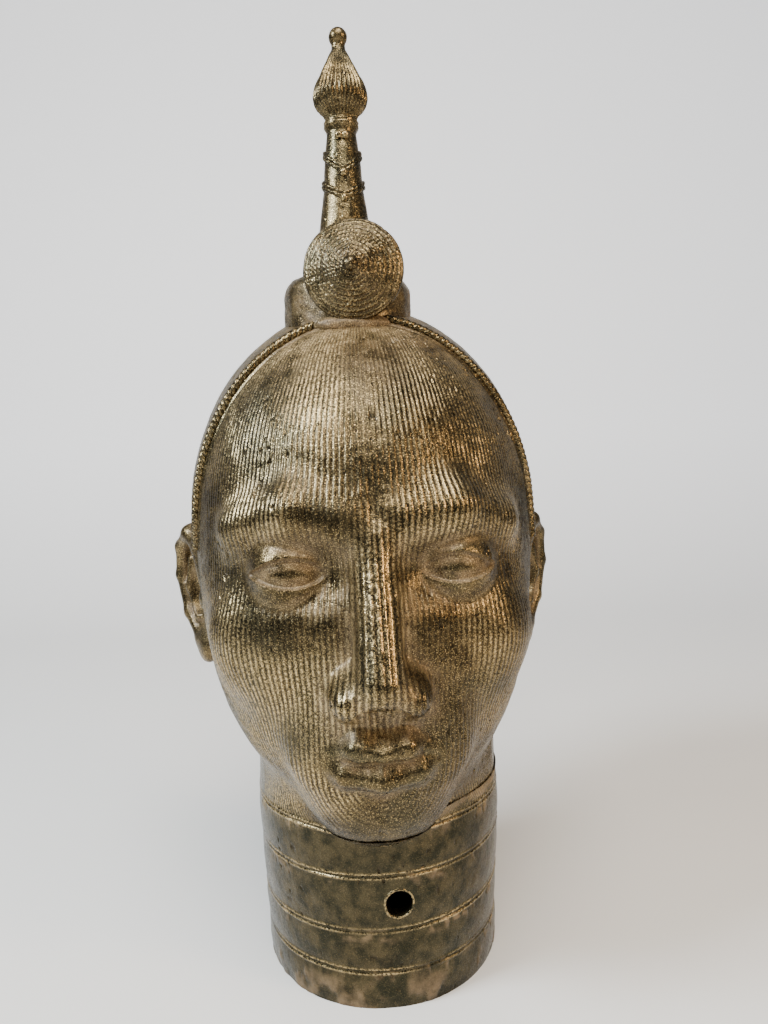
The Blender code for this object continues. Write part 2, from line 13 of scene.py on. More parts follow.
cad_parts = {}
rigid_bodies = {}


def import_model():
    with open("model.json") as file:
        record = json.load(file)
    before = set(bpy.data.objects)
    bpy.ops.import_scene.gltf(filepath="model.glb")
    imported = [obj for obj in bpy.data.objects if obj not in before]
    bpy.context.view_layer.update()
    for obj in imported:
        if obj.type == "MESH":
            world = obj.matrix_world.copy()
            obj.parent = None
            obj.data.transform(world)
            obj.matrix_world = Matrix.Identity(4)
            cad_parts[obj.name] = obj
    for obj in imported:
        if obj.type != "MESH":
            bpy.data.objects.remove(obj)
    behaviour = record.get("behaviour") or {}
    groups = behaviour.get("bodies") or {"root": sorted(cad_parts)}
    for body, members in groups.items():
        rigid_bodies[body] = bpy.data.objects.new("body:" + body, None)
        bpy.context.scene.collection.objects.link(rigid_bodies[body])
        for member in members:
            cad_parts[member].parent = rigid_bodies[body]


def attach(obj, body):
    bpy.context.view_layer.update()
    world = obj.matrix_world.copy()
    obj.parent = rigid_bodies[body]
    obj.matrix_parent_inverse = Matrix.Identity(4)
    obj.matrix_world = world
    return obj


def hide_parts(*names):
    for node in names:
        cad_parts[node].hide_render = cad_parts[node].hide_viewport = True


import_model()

# Sizes of the casting
NECK_WIDTH = 0.1085
NECK_DEPTH = 0.1160
NECK_TOP_SPREAD = 0.0028
WALL = 0.0048
HOLE_DIAMETER = 0.0112
HOLE_HEIGHT = 0.0465
HOLE_ASIDE = 0.0040
RING_HEIGHTS = (0.0164, 0.0347, 0.0587, 0.0782)
RING_SLOPES = (0.010, 0.030, 0.015, 0.000)
BAND_BULGE = 0.0007
CHIN_HEIGHT = 0.0780
HEAD_OFFSET = -0.0027
HEAD_HEIGHT = 0.2225
CAP_RISE = 0.0016
CAP_STEP = 0.0007
ROPE_RADIUS = 0.0023
CREST_OFFSET = -0.0068
CREST_DEPTH = -0.0200
DRUM_RADIUS = 0.0285
DRUM_HEIGHT = 0.0105
DRUM_SHOULDER = 0.0075
ROSETTE_RADIUS = 0.0210
ROSETTE_LIFT = 0.0080
ROSETTE_FORWARD = 0.0260
ROSETTE_RISE = 0.0110
ROSETTE_RIM = 0.0040
ROSETTE_TURN = 8.0
ROSETTE_BEARING = 4.0
STEM_RADIUS = 0.0160
SHAFT_LENGTH = 0.0658
SHAFT_FOOT_RADIUS = 0.0130
SHAFT_TOP_RADIUS = 0.0058
COLLAR_RADIUS = 0.0079
BULB_LENGTH = 0.0298
BULB_RADIUS = 0.0121
BULB_FLUTES = 36
TIP_RADIUS = 0.0041
CORD_RADIUS = 0.0010
CORD_PLACES = (0.815, 0.620)
CORD_DIPS = (0.140, 0.115)
BEAD_RADIUS = 0.0019

# Sizes of the fine relief
LINE_PITCH = 0.0023
LINE_RISE = 0.00034
ARC_HEIGHT = 0.150
ARC_RADIUS = 0.083
RING_GAP = 0.0010
RING_RISE = 0.0005
RING_THICKNESS = 0.0004
FILLET_PLACE = 0.0046
FILLET_RISE = 0.0007
FILLET_GROOVE = 0.0005
CRUST_RISE = 0.00035
PIT_DEPTH = 0.00045
FLAKE_RISE = 0.00016
GRAIN_RISE = 0.00007
SKIN_INSET = 0.0004  # keeps the raised lines within the casting's own surface
RIM_BEVEL = 0.0006
ROPE_LAY = 0.0080
CORD_LAY = 0.0060
STRAND_GAP = 0.0009
PAIR_GAP = 0.0013
PAIR_PLACE = 0.905
COIL_PITCH = 0.0019
TICK_PITCH = 0.0017
TICK_RISE = 0.00022
FLUTE_DEPTH = 0.075 * BULB_RADIUS

# Numbers of points
FACE_COLUMNS = 600
BACK_COLUMNS = 150
HEAD_ROWS = 330
NECK_ROWS = 106
BORE_SIDES = 180
HOLE_SIDES = 72
DRUM_SIDES = 180
ROSETTE_SIDES = 264
SEAT_SIDES = 110
PLUME_SIDES = 192
BEAD_SIDES = 28
EAR_CELL = 0.00085

# Colours of the metal, in linear RGB
PATINA_DARK = (0.048, 0.034, 0.014)
PATINA_LIGHT = (0.150, 0.104, 0.042)
PATINA_OLIVE = (0.068, 0.061, 0.032)
NECK_DARK = (0.017, 0.018, 0.011)
NECK_LIGHT = (0.052, 0.042, 0.020)
# Painted shade, not a colour of the metal: near black for grooves, pits and crevices
PAINTED_SHADE_BLACK = (0.018, 0.013, 0.006)
DUST_TAN = (0.175, 0.108, 0.042)
BARE_BRASS = (0.680, 0.500, 0.235)
SPECK_BLACK = (0.014, 0.010, 0.005)
SPECK_BRASS = (0.520, 0.380, 0.175)

# The head's surface is laid out round a pole that leans back from the focus
HEAD_LAST = 0.036
FOCUS = np.array([HEAD_OFFSET, -0.120 * HEAD_HEIGHT, CHIN_HEIGHT + 0.503 * HEAD_HEIGHT])
POLE_TILT = math.radians(6.0)
POLE = np.array([0.0, -math.sin(POLE_TILT), math.cos(POLE_TILT)])
FRONT = np.array([0.0, -math.cos(POLE_TILT), -math.sin(POLE_TILT)])
SIDE = np.array([1.0, 0.0, 0.0])
REACH = 0.76 * HEAD_HEIGHT

# Heights and places that follow from the sizes
JOIN_HEIGHT = CHIN_HEIGHT + HEAD_LAST * HEAD_HEIGHT
CLEAR_HEIGHT = 0.0640
CROWN_HEIGHT = CHIN_HEIGHT + HEAD_HEIGHT
DRUM_TOP = CROWN_HEIGHT + DRUM_HEIGHT
COLLAR_HEIGHT = DRUM_TOP + SHAFT_LENGTH
BULB_HEIGHT = COLLAR_HEIGHT + 0.17 * BULB_LENGTH
CREST = np.array([CREST_OFFSET, CREST_DEPTH, 0.0])

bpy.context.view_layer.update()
scene = bpy.context.scene


def neck_axis():
    """Where the neck's axis stands, from the rim of the casting."""
    corners = [
        item.matrix_world @ vertex.co
        for item in scene.objects
        if item.name == "head" and item.type == "MESH"
        for vertex in item.data.vertices
    ]
    rim = np.array([corner for corner in corners if corner.z < 0.001])
    middle = (rim.min(axis=0) + rim.max(axis=0)) / 2
    return np.array([middle[0], middle[1], 0.0])


AXIS = neck_axis()


# Forms, as distances from points


def share(x, y, z):
    """A place on the head, given in shares of the head's height from the chin up."""
    return np.array([x * HEAD_HEIGHT, y * HEAD_HEIGHT, CHIN_HEIGHT + z * HEAD_HEIGHT])


def size(*shares):
    """Lengths given in shares of the head's height."""
    return np.array(shares) * HEAD_HEIGHT


def height_at(part):
    """The height of a share of the head, from the chin up."""
    return CHIN_HEIGHT + part * HEAD_HEIGHT


def ease(low, high, value):
    """A smooth step from 0 at low to 1 at high."""
    t = np.clip((value - low) / (high - low), 0.0, 1.0)
    return t * t * (3.0 - 2.0 * t)


def bump(value, width):
    """A smooth hump of height 1 at zero."""
    return np.exp(-((value / width) ** 2))


def unit(vectors):
    """Vectors brought to length 1."""
    return vectors / (np.linalg.norm(vectors, axis=-1, keepdims=True) + 1e-12)


def circle(sides):
    """Angles evenly round a circle, from the back over the left."""
    return np.linspace(-math.pi, math.pi, sides + 1)[:-1]


def level_rays(angles):
    """Level directions, where 0 looks to the front and a quarter turn to the right."""
    return np.stack([np.sin(angles), -np.cos(angles), np.zeros(len(angles))], axis=1)


def oval_reach(directions, half_width, half_depth):
    """How far level directions go from the middle of an oval to its edge."""
    return 1.0 / np.hypot(directions[:, 0] / half_width, directions[:, 1] / half_depth)


def run_along(points):
    """The length of a path up to each of its points."""
    steps = np.linalg.norm(np.diff(points, axis=0), axis=1)
    return np.concatenate([[0.0], np.cumsum(steps)])


def ellipsoid(p, centre, radii):
    """Distance to an ellipsoid, exact on its surface."""
    q = p - centre
    near = np.linalg.norm(q / radii, axis=-1)
    slope = np.linalg.norm(q / radii**2, axis=-1) + 1e-9
    return near * (near - 1.0) / slope


def capsule(p, start, end, start_radius, end_radius):
    """Distance to a rod with round ends, which may taper."""
    along = end - start
    t = np.clip((p - start) @ along / (along @ along), 0.0, 1.0)
    reach = np.linalg.norm(p - start - t[..., None] * along, axis=-1)
    return reach - (start_radius + (end_radius - start_radius) * t)


def chain(p, points, radii, softness):
    """Distance to a row of rods through the points."""
    found = None
    for k in range(len(points) - 1):
        rod = capsule(p, points[k], points[k + 1], radii[k], radii[k + 1])
        found = rod if found is None else join(found, rod, softness)
    return found


def join(a, b, softness):
    """Two forms run together with a fillet."""
    t = np.clip(0.5 + 0.5 * (b - a) / softness, 0.0, 1.0)
    return b + (a - b) * t - softness * t * (1.0 - t)


def carve(a, b, softness):
    """Form a with form b hollowed out of it."""
    return -join(-a, b, softness)


def folded(p):
    """Points as the head's own right side sees them, as the head is alike on both sides."""
    q = p.copy()
    q[:, 0] = np.abs(p[:, 0] - HEAD_OFFSET)
    return q


def skull(p):
    """The plain head: a tall cranium over a narrower jaw."""
    cranium = ellipsoid(p, share(0.0, 0.036, 0.571), size(0.357, 0.436, 0.435))
    jaw = ellipsoid(p, share(0.0, -0.108, 0.312), size(0.295, 0.300, 0.316))
    return join(cranium, jaw, 0.135 * HEAD_HEIGHT)


def neck_radii(z):
    """Half width and half depth of the plain neck at a height."""
    spread = NECK_TOP_SPREAD * ease(0.0, RING_HEIGHTS[-1], z)
    return NECK_WIDTH / 2 + spread, NECK_DEPTH / 2 + spread


def band_offset(p):
    """How far the bands between the neck's rings bulge."""
    offset = np.zeros(len(p))
    levels = [z + slope * p[:, 0] for z, slope in zip(RING_HEIGHTS, RING_SLOPES)]
    edges = [np.zeros(len(p))] + levels
    for low, high in zip(edges, edges[1:]):
        t = np.clip((p[:, 2] - low) / (high - low), 0.0, 1.0)
        offset += BAND_BULGE * 4.0 * t * (1.0 - t)
    return offset


def neck(p, inset=0.0):
    """Distance to the oval neck, which runs up into the head and on below the rim."""
    half_width, half_depth = neck_radii(p[:, 2])
    half_width = half_width - inset
    half_depth = half_depth - inset
    reach = np.hypot(p[:, 0] / half_width, p[:, 1] / half_depth)
    side = (reach - 1.0) * np.minimum(half_width, half_depth)
    return np.maximum(side, p[:, 2] - height_at(0.42))


def eyes(p):
    """Both eyeballs behind their lids, with an almond opening."""
    centre = share(0.140, -0.318, 0.497)
    half_width, upper, lower = size(0.072, 0.027, 0.020)
    ball = ellipsoid(p, centre, np.full(3, 0.068 * HEAD_HEIGHT))
    lids = ellipsoid(p, centre, np.full(3, 0.0765 * HEAD_HEIGHT))
    across = (p[:, 0] - centre[0]) / half_width
    height = p[:, 2] - centre[2]
    bow = 1.0 - across**2
    opening = np.maximum(height - upper * bow, -height - lower * bow)
    lids = carve(lids, opening, 0.0070 * HEAD_HEIGHT)
    return join(ball, lids, 0.0040 * HEAD_HEIGHT)


def nose(p):
    """The bridge, tip and wings of the nose."""
    bridge = capsule(
        p, share(0, -0.388, 0.545), share(0, -0.462, 0.330), *size(0.029, 0.041)
    )
    wing = ellipsoid(p, share(0.052, -0.428, 0.300), size(0.034, 0.052, 0.034))
    return join(bridge, wing, 0.030 * HEAD_HEIGHT)


def lips(p):
    """Two full lips that meet in a level line."""
    corner = share(0.112, -0.374, 0.191)
    upper = chain(
        p,
        [corner, share(0.040, -0.418, 0.214), share(0.0, -0.424, 0.205)],
        size(0.007, 0.020, 0.018),
        0.018 * HEAD_HEIGHT,
    )
    lower = chain(
        p,
        [corner, share(0.060, -0.406, 0.170), share(0.0, -0.420, 0.162)],
        size(0.006, 0.021, 0.025),
        0.018 * HEAD_HEIGHT,
    )
    return join(upper, lower, 0.0054 * HEAD_HEIGHT)


def ear(p):
    """An ear with a rolled rim, a hollow and a lobe."""
    root = share(0.345, -0.020, 0.425)
    back = unit(np.array([0.42, 0.90, -0.12]))
    out = np.array([0.90, -0.42, 0.0])
    out = unit(out - (out @ back) * back)
    q = (p - root) @ np.stack([back, np.cross(out, back), out], axis=1)
    plate = ellipsoid(q, size(0.010, 0.010, -0.012), size(0.070, 0.115, 0.024))
    rim = chain(
        q,
        [
            size(-0.044, 0.020, 0.004),
            size(-0.034, 0.088, 0.010),
            size(0.012, 0.122, 0.014),
            size(0.056, 0.096, 0.018),
            size(0.068, 0.035, 0.020),
            size(0.050, -0.045, 0.014),
            size(0.010, -0.098, 0.006),
        ],
        size(0.014, 0.017, 0.018, 0.018, 0.017, 0.016, 0.014),
        0.009 * HEAD_HEIGHT,
    )
    lobe = ellipsoid(q, size(-0.014, -0.116, 0.002), size(0.034, 0.036, 0.020))
    fold = chain(
        q,
        [size(0.022, 0.066, 0.010), size(0.032, 0.010, 0.012), size(0.004, -0.052, 0.008)],
        size(0.011, 0.014, 0.013),
        0.009 * HEAD_HEIGHT,
    )
    hollow = ellipsoid(q, size(-0.006, 0.000, 0.014), size(0.026, 0.046, 0.026))
    flap = ellipsoid(q, size(-0.040, -0.018, 0.006), size(0.014, 0.022, 0.014))
    form = join(plate, rim, 0.0135 * HEAD_HEIGHT)
    form = join(form, lobe, 0.0225 * HEAD_HEIGHT)
    form = join(form, fold, 0.0112 * HEAD_HEIGHT)
    form = carve(form, hollow, 0.0135 * HEAD_HEIGHT)
    return join(form, flap, 0.009 * HEAD_HEIGHT)


def band_plane(p):
    """How far a point is behind the plane of the cap's front edge."""
    slope = math.tan(POLE_TILT)
    return (p[:, 1] - FOCUS[1] + (p[:, 2] - FOCUS[2]) * slope) * math.cos(POLE_TILT)


def cap_edge_height(y):
    """Height of the cap's lower edge, which drops behind the ear to the nape."""
    return height_at(0.550) - ease(*size(0.085, 0.300), y) * 0.335 * HEAD_HEIGHT


def cap_cover(p):
    """1 on the cap, 0 off it, with a narrow step between."""
    behind = ease(-CAP_STEP, CAP_STEP, band_plane(p))
    above = ease(-CAP_STEP, CAP_STEP, p[:, 2] - cap_edge_height(p[:, 1]))
    return behind * above


def head_form(p):
    """Distance to the outside of the head and neck, without its ears."""
    q = folded(p)
    form = skull(q)
    chin = ellipsoid(q, share(0, -0.308, 0.078), size(0.105, 0.080, 0.072))
    form = join(form, chin, 0.110 * HEAD_HEIGHT)
    cheek = ellipsoid(q, share(0.190, -0.262, 0.370), size(0.085, 0.080, 0.078))
    form = join(form, cheek, 0.080 * HEAD_HEIGHT)
    orbit = ellipsoid(q, share(0.132, -0.428, 0.500), size(0.082, 0.060, 0.044))
    form = carve(form, orbit, 0.060 * HEAD_HEIGHT)
    brow = chain(
        q,
        [share(0.045, -0.376, 0.583), share(0.140, -0.362, 0.600), share(0.240, -0.285, 0.572)],
        size(0.014, 0.017, 0.012),
        0.045 * HEAD_HEIGHT,
    )
    form = join(form, brow, 0.070 * HEAD_HEIGHT)
    form = join(form, nose(q), 0.030 * HEAD_HEIGHT)
    nostril = ellipsoid(q, share(0.030, -0.452, 0.268), size(0.016, 0.028, 0.020))
    form = carve(form, nostril, 0.010 * HEAD_HEIGHT)
    form = join(form, eyes(q), 0.010 * HEAD_HEIGHT)
    mouth = ellipsoid(q, share(0, -0.345, 0.195), size(0.150, 0.066, 0.100))
    form = join(form, mouth, 0.060 * HEAD_HEIGHT)
    groove = capsule(q, share(0, -0.426, 0.262), share(0, -0.432, 0.232), *size(0.010, 0.013))
    form = carve(form, groove, 0.016 * HEAD_HEIGHT)
    form = join(form, lips(q), 0.012 * HEAD_HEIGHT)
    form = join(form, neck(p) - band_offset(p), 0.040 * HEAD_HEIGHT)
    return form - CAP_RISE * cap_cover(q)


def core_form(p):
    """Distance to the hollow inside: the head and neck less the wall, blunt behind the face."""
    face_side = p[:, 1] + 0.335 * HEAD_HEIGHT
    head = carve(skull(folded(p)) + 1.15 * WALL, face_side, 0.060 * HEAD_HEIGHT)
    return join(head, neck(p, WALL), 0.060 * HEAD_HEIGHT)


# Unevenness


def noise(p, scale, seed):
    """Smooth values from -1 to 1 over space, which change over the scale."""
    table = np.random.default_rng(seed).uniform(-1.0, 1.0, 4096)
    q = p / scale
    cell = np.floor(q).astype(np.int64)
    part = q - cell
    part = part * part * (3.0 - 2.0 * part)
    total = 0.0
    for corner in range(8):
        step = np.array([corner & 1, corner >> 1 & 1, corner >> 2 & 1])
        key = (cell + step) @ np.array([73856093, 19349663, 83492791])
        weight = np.prod(np.where(step, part, 1.0 - part), axis=-1)
        total = total + weight * table[(key ^ (key >> 13)) & 4095]
    return total


def rough(p, scale, seed, octaves=3):
    """Noise at several scales, each half the one before."""
    total = 0.0
    for k in range(octaves):
        total = total + noise(p, scale / 2**k, seed + k) / 2**k
    return total


# Layout of the head's surface


def meet(form, origins, directions, travel, steps):
    """How far rays go from inside before they meet a form, from a first guess outside it."""
    for _ in range(steps):
        gap = form(origins + directions * travel[:, None])
        travel = np.maximum(travel - 0.85 * gap, 0.0)
    return travel


def spaced(count, low, high, density):
    """Values from low to high, closer together where the density is higher."""
    fine = np.linspace(low, high, 4001)
    total = np.concatenate([[0.0], np.cumsum(density((fine[1:] + fine[:-1]) / 2))])
    return np.interp(np.linspace(0.0, total[-1], count), total, fine)


def ray(turn, fall):
    """Direction from the focus for an angle round the tilted pole and one from it."""
    flat = np.cos(turn)[..., None] * FRONT + np.sin(turn)[..., None] * SIDE
    return np.cos(fall)[..., None] * POLE + np.sin(fall)[..., None] * flat


def neck_turns(turns):
    """Angles round the neck that carry on the head's columns, and the fall that reaches it."""
    around = np.linspace(-math.pi, math.pi, 1441)
    half_width, half_depth = neck_radii(JOIN_HEIGHT)
    points = level_rays(around) * np.array([half_width, half_depth, 0.0])
    q = points + np.array([0.0, -FOCUS[1], JOIN_HEIGHT - FOCUS[2]])
    seen = np.arctan2(q[:, 0], q @ FRONT)
    falls = np.arccos(q @ POLE / np.linalg.norm(q, axis=1))
    seen[0], seen[-1] = -math.pi, math.pi
    return np.interp(turns, seen, around), np.interp(turns, seen, falls)


def head_turns():
    """Angles of the columns: fine over the face, finest at the rope, coarse behind."""
    def face_density(turn):
        degrees = np.abs(np.degrees(turn))
        return 1.0 + 0.8 * bump(degrees, 35.0) + 1.3 * bump(degrees - 90.0, 4.0)

    half = spaced(FACE_COLUMNS // 2 + 1, 0.0, math.pi / 2, face_density)
    back = spaced(
        BACK_COLUMNS // 2 + 1,
        math.pi / 2,
        math.pi,
        lambda turn: 1.0 + 2.0 * bump(np.degrees(turn) - 90.0, 6.0),
    )
    return np.concatenate([-back[1:-1][::-1], -half[::-1], half[1:], back[1:]])


def head_steps():
    """Shares of the way from the pole to the neck for the rows, finest between brow and chin."""
    return spaced(HEAD_ROWS, 0.004, 1.0, lambda t: 1.0 + 1.3 * bump(t - 0.70, 0.22))


def traced_head(turns, steps):
    """Rows of points down the head, found on a coarse grid first."""
    stride = 6
    _, falls = neck_turns(turns)
    few_turns = np.unique(np.append(np.arange(0, len(turns), stride), len(turns) - 1))
    few_steps = np.unique(np.append(np.arange(0, len(steps), stride), len(steps) - 1))
    directions = np.stack([ray(turns, t * falls) for t in steps])
    some = directions[few_steps][:, few_turns]
    flat = some.reshape(-1, 3)
    travel = meet(head_form, FOCUS, flat, np.full(len(flat), REACH), 40).reshape(some.shape[:2])
    rows, columns = travel.shape
    padded = np.pad(travel, 1, mode="edge")
    grown = travel
    for dr in range(3):
        for dc in range(3):
            grown = np.maximum(grown, padded[dr : dr + rows, dc : dc + columns])
    wide = np.stack([np.interp(np.arange(len(turns)), few_turns, row) for row in grown])
    every = np.arange(len(steps))
    full = np.stack([np.interp(every, few_steps, column) for column in wide.T], axis=1)
    flat = directions.reshape(-1, 3)
    travel = meet(head_form, FOCUS, flat, full.ravel() + 0.0005, 14)
    return (FOCUS + flat * travel[:, None]).reshape(directions.shape)


def neck_rows():
    """Heights and slopes of the neck's rows, finest at the rings and the hole."""
    def density(z):
        total = 1.0 + 1.2 * bump(z - HOLE_HEIGHT, 0.007)
        for height in RING_HEIGHTS:
            total = total + 4.5 * bump(z - height, 0.0022)
        return total

    heights = spaced(NECK_ROWS, 0.0, JOIN_HEIGHT - 0.0009, density)[::-1]
    slopes = np.interp(heights, (0.0,) + RING_HEIGHTS, (0.0,) + RING_SLOPES)
    return heights, slopes


def traced_neck(turns):
    """Rows of points down the neck, from under the jaw to the rim."""
    around, _ = neck_turns(turns)
    flat = level_rays(around)
    rows = []
    for height, slope in zip(*neck_rows()):
        origins = np.zeros((len(turns), 3))
        origins[:, 2] = height + slope * flat[:, 0] * NECK_WIDTH / 2
        half_width, half_depth = neck_radii(origins[:, 2])
        reach = oval_reach(flat, half_width, half_depth)
        travel = reach * (1.0 + band_offset(origins + flat * reach[:, None]) / half_width)
        if height > CLEAR_HEIGHT:
            travel = meet(head_form, origins, flat, np.full(len(turns), 0.80 * NECK_DEPTH), 30)
        rows.append(origins + flat * travel[:, None])
    return np.stack(rows)


def grid_normals(points):
    """Normals of a grid of points that closes round."""
    across = np.roll(points, -1, axis=1) - np.roll(points, 1, axis=1)
    return unit(np.cross(np.gradient(points, axis=0), across))


def shelter(form, p, normals, reach):
    """0 on open and rounded places, towards 1 deep in hollows of a form."""
    return np.clip(1.0 - form(p + normals * reach) / reach, 0.0, 1.0)


# Fine relief


def line_phase(p):
    """Number of the striation at each point: upright above, in nested arcs round the chin."""
    q = p - share(0, -0.060, ARC_HEIGHT) - np.array([HEAD_OFFSET, 0.0, 0.0])
    q = unit(q)
    rise = np.arcsin(np.clip(q[..., 2], -1.0, 1.0))
    across = np.abs(np.arctan2(q[..., 0], -q[..., 1]))
    upright = across * np.cos(np.clip(rise, 0.0, 1.3)) ** 0.15
    arcs = np.arccos(np.clip(-q[..., 1], -1.0, 1.0))
    spread = np.where(rise > 0.0, upright, arcs)
    wander = 0.10 * noise(p, 0.016, 5) + 0.06 * noise(p, 0.004, 6)
    return spread * ARC_RADIUS / LINE_PITCH + wander


def cast_unevenness(p):
    """The slight waves and lumps of the cast surface."""
    return 0.00022 * rough(p, 0.024, 31, 2) + 0.00010 * rough(p, 0.0055, 41, 2)


def dress_head(points):
    """The fine relief of the head and neck, and masks for its material, painted shade among them.
    """
    shape = points.shape
    normals = grid_normals(points).reshape(-1, 3)
    p = points.reshape(-1, 3)
    q = folded(p)
    plane = band_plane(p)
    hollow = shelter(head_form, p, normals, 0.0045)
    slanted = p[:, 2] + 0.20 * (p[:, 1] + 0.05)
    above_neck = ease(JOIN_HEIGHT - 0.012, JOIN_HEIGHT + 0.002, slanted)
    on_neck = 1.0 - ease(JOIN_HEIGHT - 0.004, JOIN_HEIGHT + 0.001, p[:, 2])

    # Striations, which leave out eyes, lips and ears and stop short of the cap
    bare = ease(0.0005, 0.0020, eyes(q)) * ease(0.0008, 0.0030, lips(q))
    bare = bare * ease(0.0005, 0.0030, ear(q))
    field = bare * above_neck * ease(FILLET_PLACE + 0.0012, FILLET_PLACE + 0.0028, -plane)
    ridge = 0.5 + 0.5 * np.cos(2.0 * math.pi * line_phase(p))
    strength = field * np.clip(0.72 + 0.55 * noise(p, 0.017, 11), 0.15, 1.15)
    broken = np.clip(0.90 + 0.45 * noise(p, 0.0026, 12), 0.3, 1.2)
    relief = LINE_RISE * strength * broken * (ridge**1.2 - 0.4)

    # The fillet in front of the rope, with a groove behind it
    ahead = bump(plane + FILLET_PLACE, 0.0008) * FILLET_RISE
    ahead = ahead - bump(plane + FILLET_PLACE - 0.0019, 0.0006) * FILLET_GROOVE
    relief = relief + ahead * ease(height_at(0.500), height_at(0.540), p[:, 2])

    # The double rings of the neck
    rings = np.zeros(len(p))
    beside = np.zeros(len(p))
    for height, slope in zip(RING_HEIGHTS, RING_SLOPES):
        away = p[:, 2] - height - slope * p[:, 0]
        rings += bump(away - RING_GAP, RING_THICKNESS) + bump(away + RING_GAP, RING_THICKNESS)
        beside += bump(away + 0.0022, 0.0026)
    worn = np.clip(0.75 + 0.6 * noise(p, 0.014, 21), 0.2, 1.1)
    relief = relief + RING_RISE * rings * worn * on_neck

    # Crusts at the foot and along the rings, pits, and flaky metal on the upper forehead
    crust = ease(0.020, 0.004, p[:, 2]) * ease(0.05, 0.55, rough(p, 0.009, 51))
    patches = ease(0.15, 0.60, rough(p, 0.011, 55)) * ease(-0.2, 0.4, noise(p, 0.0022, 56))
    crust = crust + beside * on_neck * patches
    pits = ease(0.62, 0.80, noise(p, 0.0021, 61)) * ease(-0.1, 0.5, noise(p, 0.020, 62))
    brow = ease(height_at(0.86), height_at(0.90), p[:, 2]) * ease(-0.004, -0.009, plane)
    upright = p * np.array([1.0, 1.0, 0.30])
    pits = np.maximum(pits, 1.2 * brow * ease(0.66, 0.80, noise(upright, 0.0016, 63)))
    relief = relief + FLAKE_RISE * brow * rough(p, 0.0032, 64, 2)
    grain = GRAIN_RISE * rough(p, 0.0017, 45, 2) * (1.0 - 0.5 * on_neck)
    relief = relief + cast_unevenness(p) + grain + CRUST_RISE * crust
    relief = relief - PIT_DEPTH * pits - SKIN_INSET * (1.0 - on_neck)

    moved = p + normals * relief[:, None]
    moved[:, 2] = np.maximum(moved[:, 2], 0.0)
    under_crest = (p - share(-0.037, -0.30, 0.96)) / size(0.26, 0.30, 0.11)
    under_crest = np.exp(-(under_crest**2).sum(-1))
    wear = field * ridge**1.5 * ease(-0.25, 0.55, noise(p, 0.021, 71))
    masks = {
        # groove: painted shade in the striations' grooves and in the pits
        "groove": field * (1.0 - ridge) * 0.9 + 1.6 * pits,
        "dust": 0.8 * ease(0.05, 0.45, hollow) * above_neck + 0.9 * under_crest + 0.9 * crust,
        "wear": wear + rings * worn * on_neck * ease(-0.9, 0.1, noise(p, 0.018, 72)),
    }
    masks = {key: np.clip(value, 0.0, 1.0).reshape(shape[:2]) for key, value in masks.items()}
    return moved.reshape(shape), masks


# Pieces from grids


def pierced(points):
    """A grid with its points just inside the neck's hole moved to the edge, and those inside."""
    across = points[..., 0] - HOLE_ASIDE
    above = points[..., 2] - HOLE_HEIGHT
    reach = np.hypot(across, above)
    inside = (reach < HOLE_DIAMETER / 2) & (points[..., 1] < 0.0)
    deep = inside.copy()
    for down in (-1, 0, 1):
        for aside in (-1, 0, 1):
            deep &= np.roll(inside, (down, aside), axis=(0, 1))
    edge = inside & ~deep
    stretch = np.where(edge, HOLE_DIAMETER / 2 / np.maximum(reach, 1e-6), 1.0)
    moved = points.copy()
    moved[..., 0] = HOLE_ASIDE + across * stretch
    moved[..., 2] = HOLE_HEIGHT + above * stretch
    return moved, inside.ravel()


def grid_piece(name, points, masks, closed=True, normals=None, hole=False):
    """A mesh through a grid of points, which faces out when rows run down and columns right."""
    rows, columns = points.shape[:2]
    index = np.arange(rows * columns).reshape(rows, columns)
    if closed:
        index = np.concatenate([index, index[:, :1]], axis=1)
    faces = np.stack([index[:-1, :-1], index[1:, :-1], index[1:, 1:], index[:-1, 1:]], axis=-1)
    faces = faces.reshape(-1, 4)
    if normals is None:
        normals = grid_normals(points)
    if hole:
        points, inside = pierced(points)
        faces = faces[~inside[faces].all(axis=1)]
    add_piece(name, points.reshape(-1, 3), faces, normals.reshape(-1, 3), masks)


def add_piece(name, points, faces, normals, masks):
    """A smooth mesh with masks for its material, placed on the head."""
    mesh = bpy.data.meshes.new(name)
    mesh.from_pydata(points + AXIS, [], faces.tolist())
    for key in ("groove", "dust", "wear"):
        values = np.broadcast_to(np.ravel(masks.get(key, 0.0)), len(points))
        layer = mesh.attributes.new(key, "FLOAT", "POINT")
        layer.data.foreach_set("value", values.astype(np.float32))
    mesh.polygons.foreach_set("use_smooth", np.ones(len(mesh.polygons), dtype=bool))
    mesh.normals_split_custom_set_from_vertices(normals.tolist())
    mesh.materials.append(patina)
    piece = bpy.data.objects.new(name, mesh)
    scene.collection.objects.link(piece)
    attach(piece, "root")
    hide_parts("head")


def settle(node, values):
    """Sets a node's inputs by their names."""
    for key, value in values.items():
        node.inputs[key].default_value = value


def map_range(tree, value, low, high, start=0.0, end=1.0):
    """A node that maps a value from low and high to start and end."""
    node = tree.nodes.new("ShaderNodeMapRange")
    settle(node, {"From Min": low, "From Max": high, "To Min": start, "To Max": end})
    tree.links.new(value, node.inputs["Value"])
    return node.outputs["Result"]


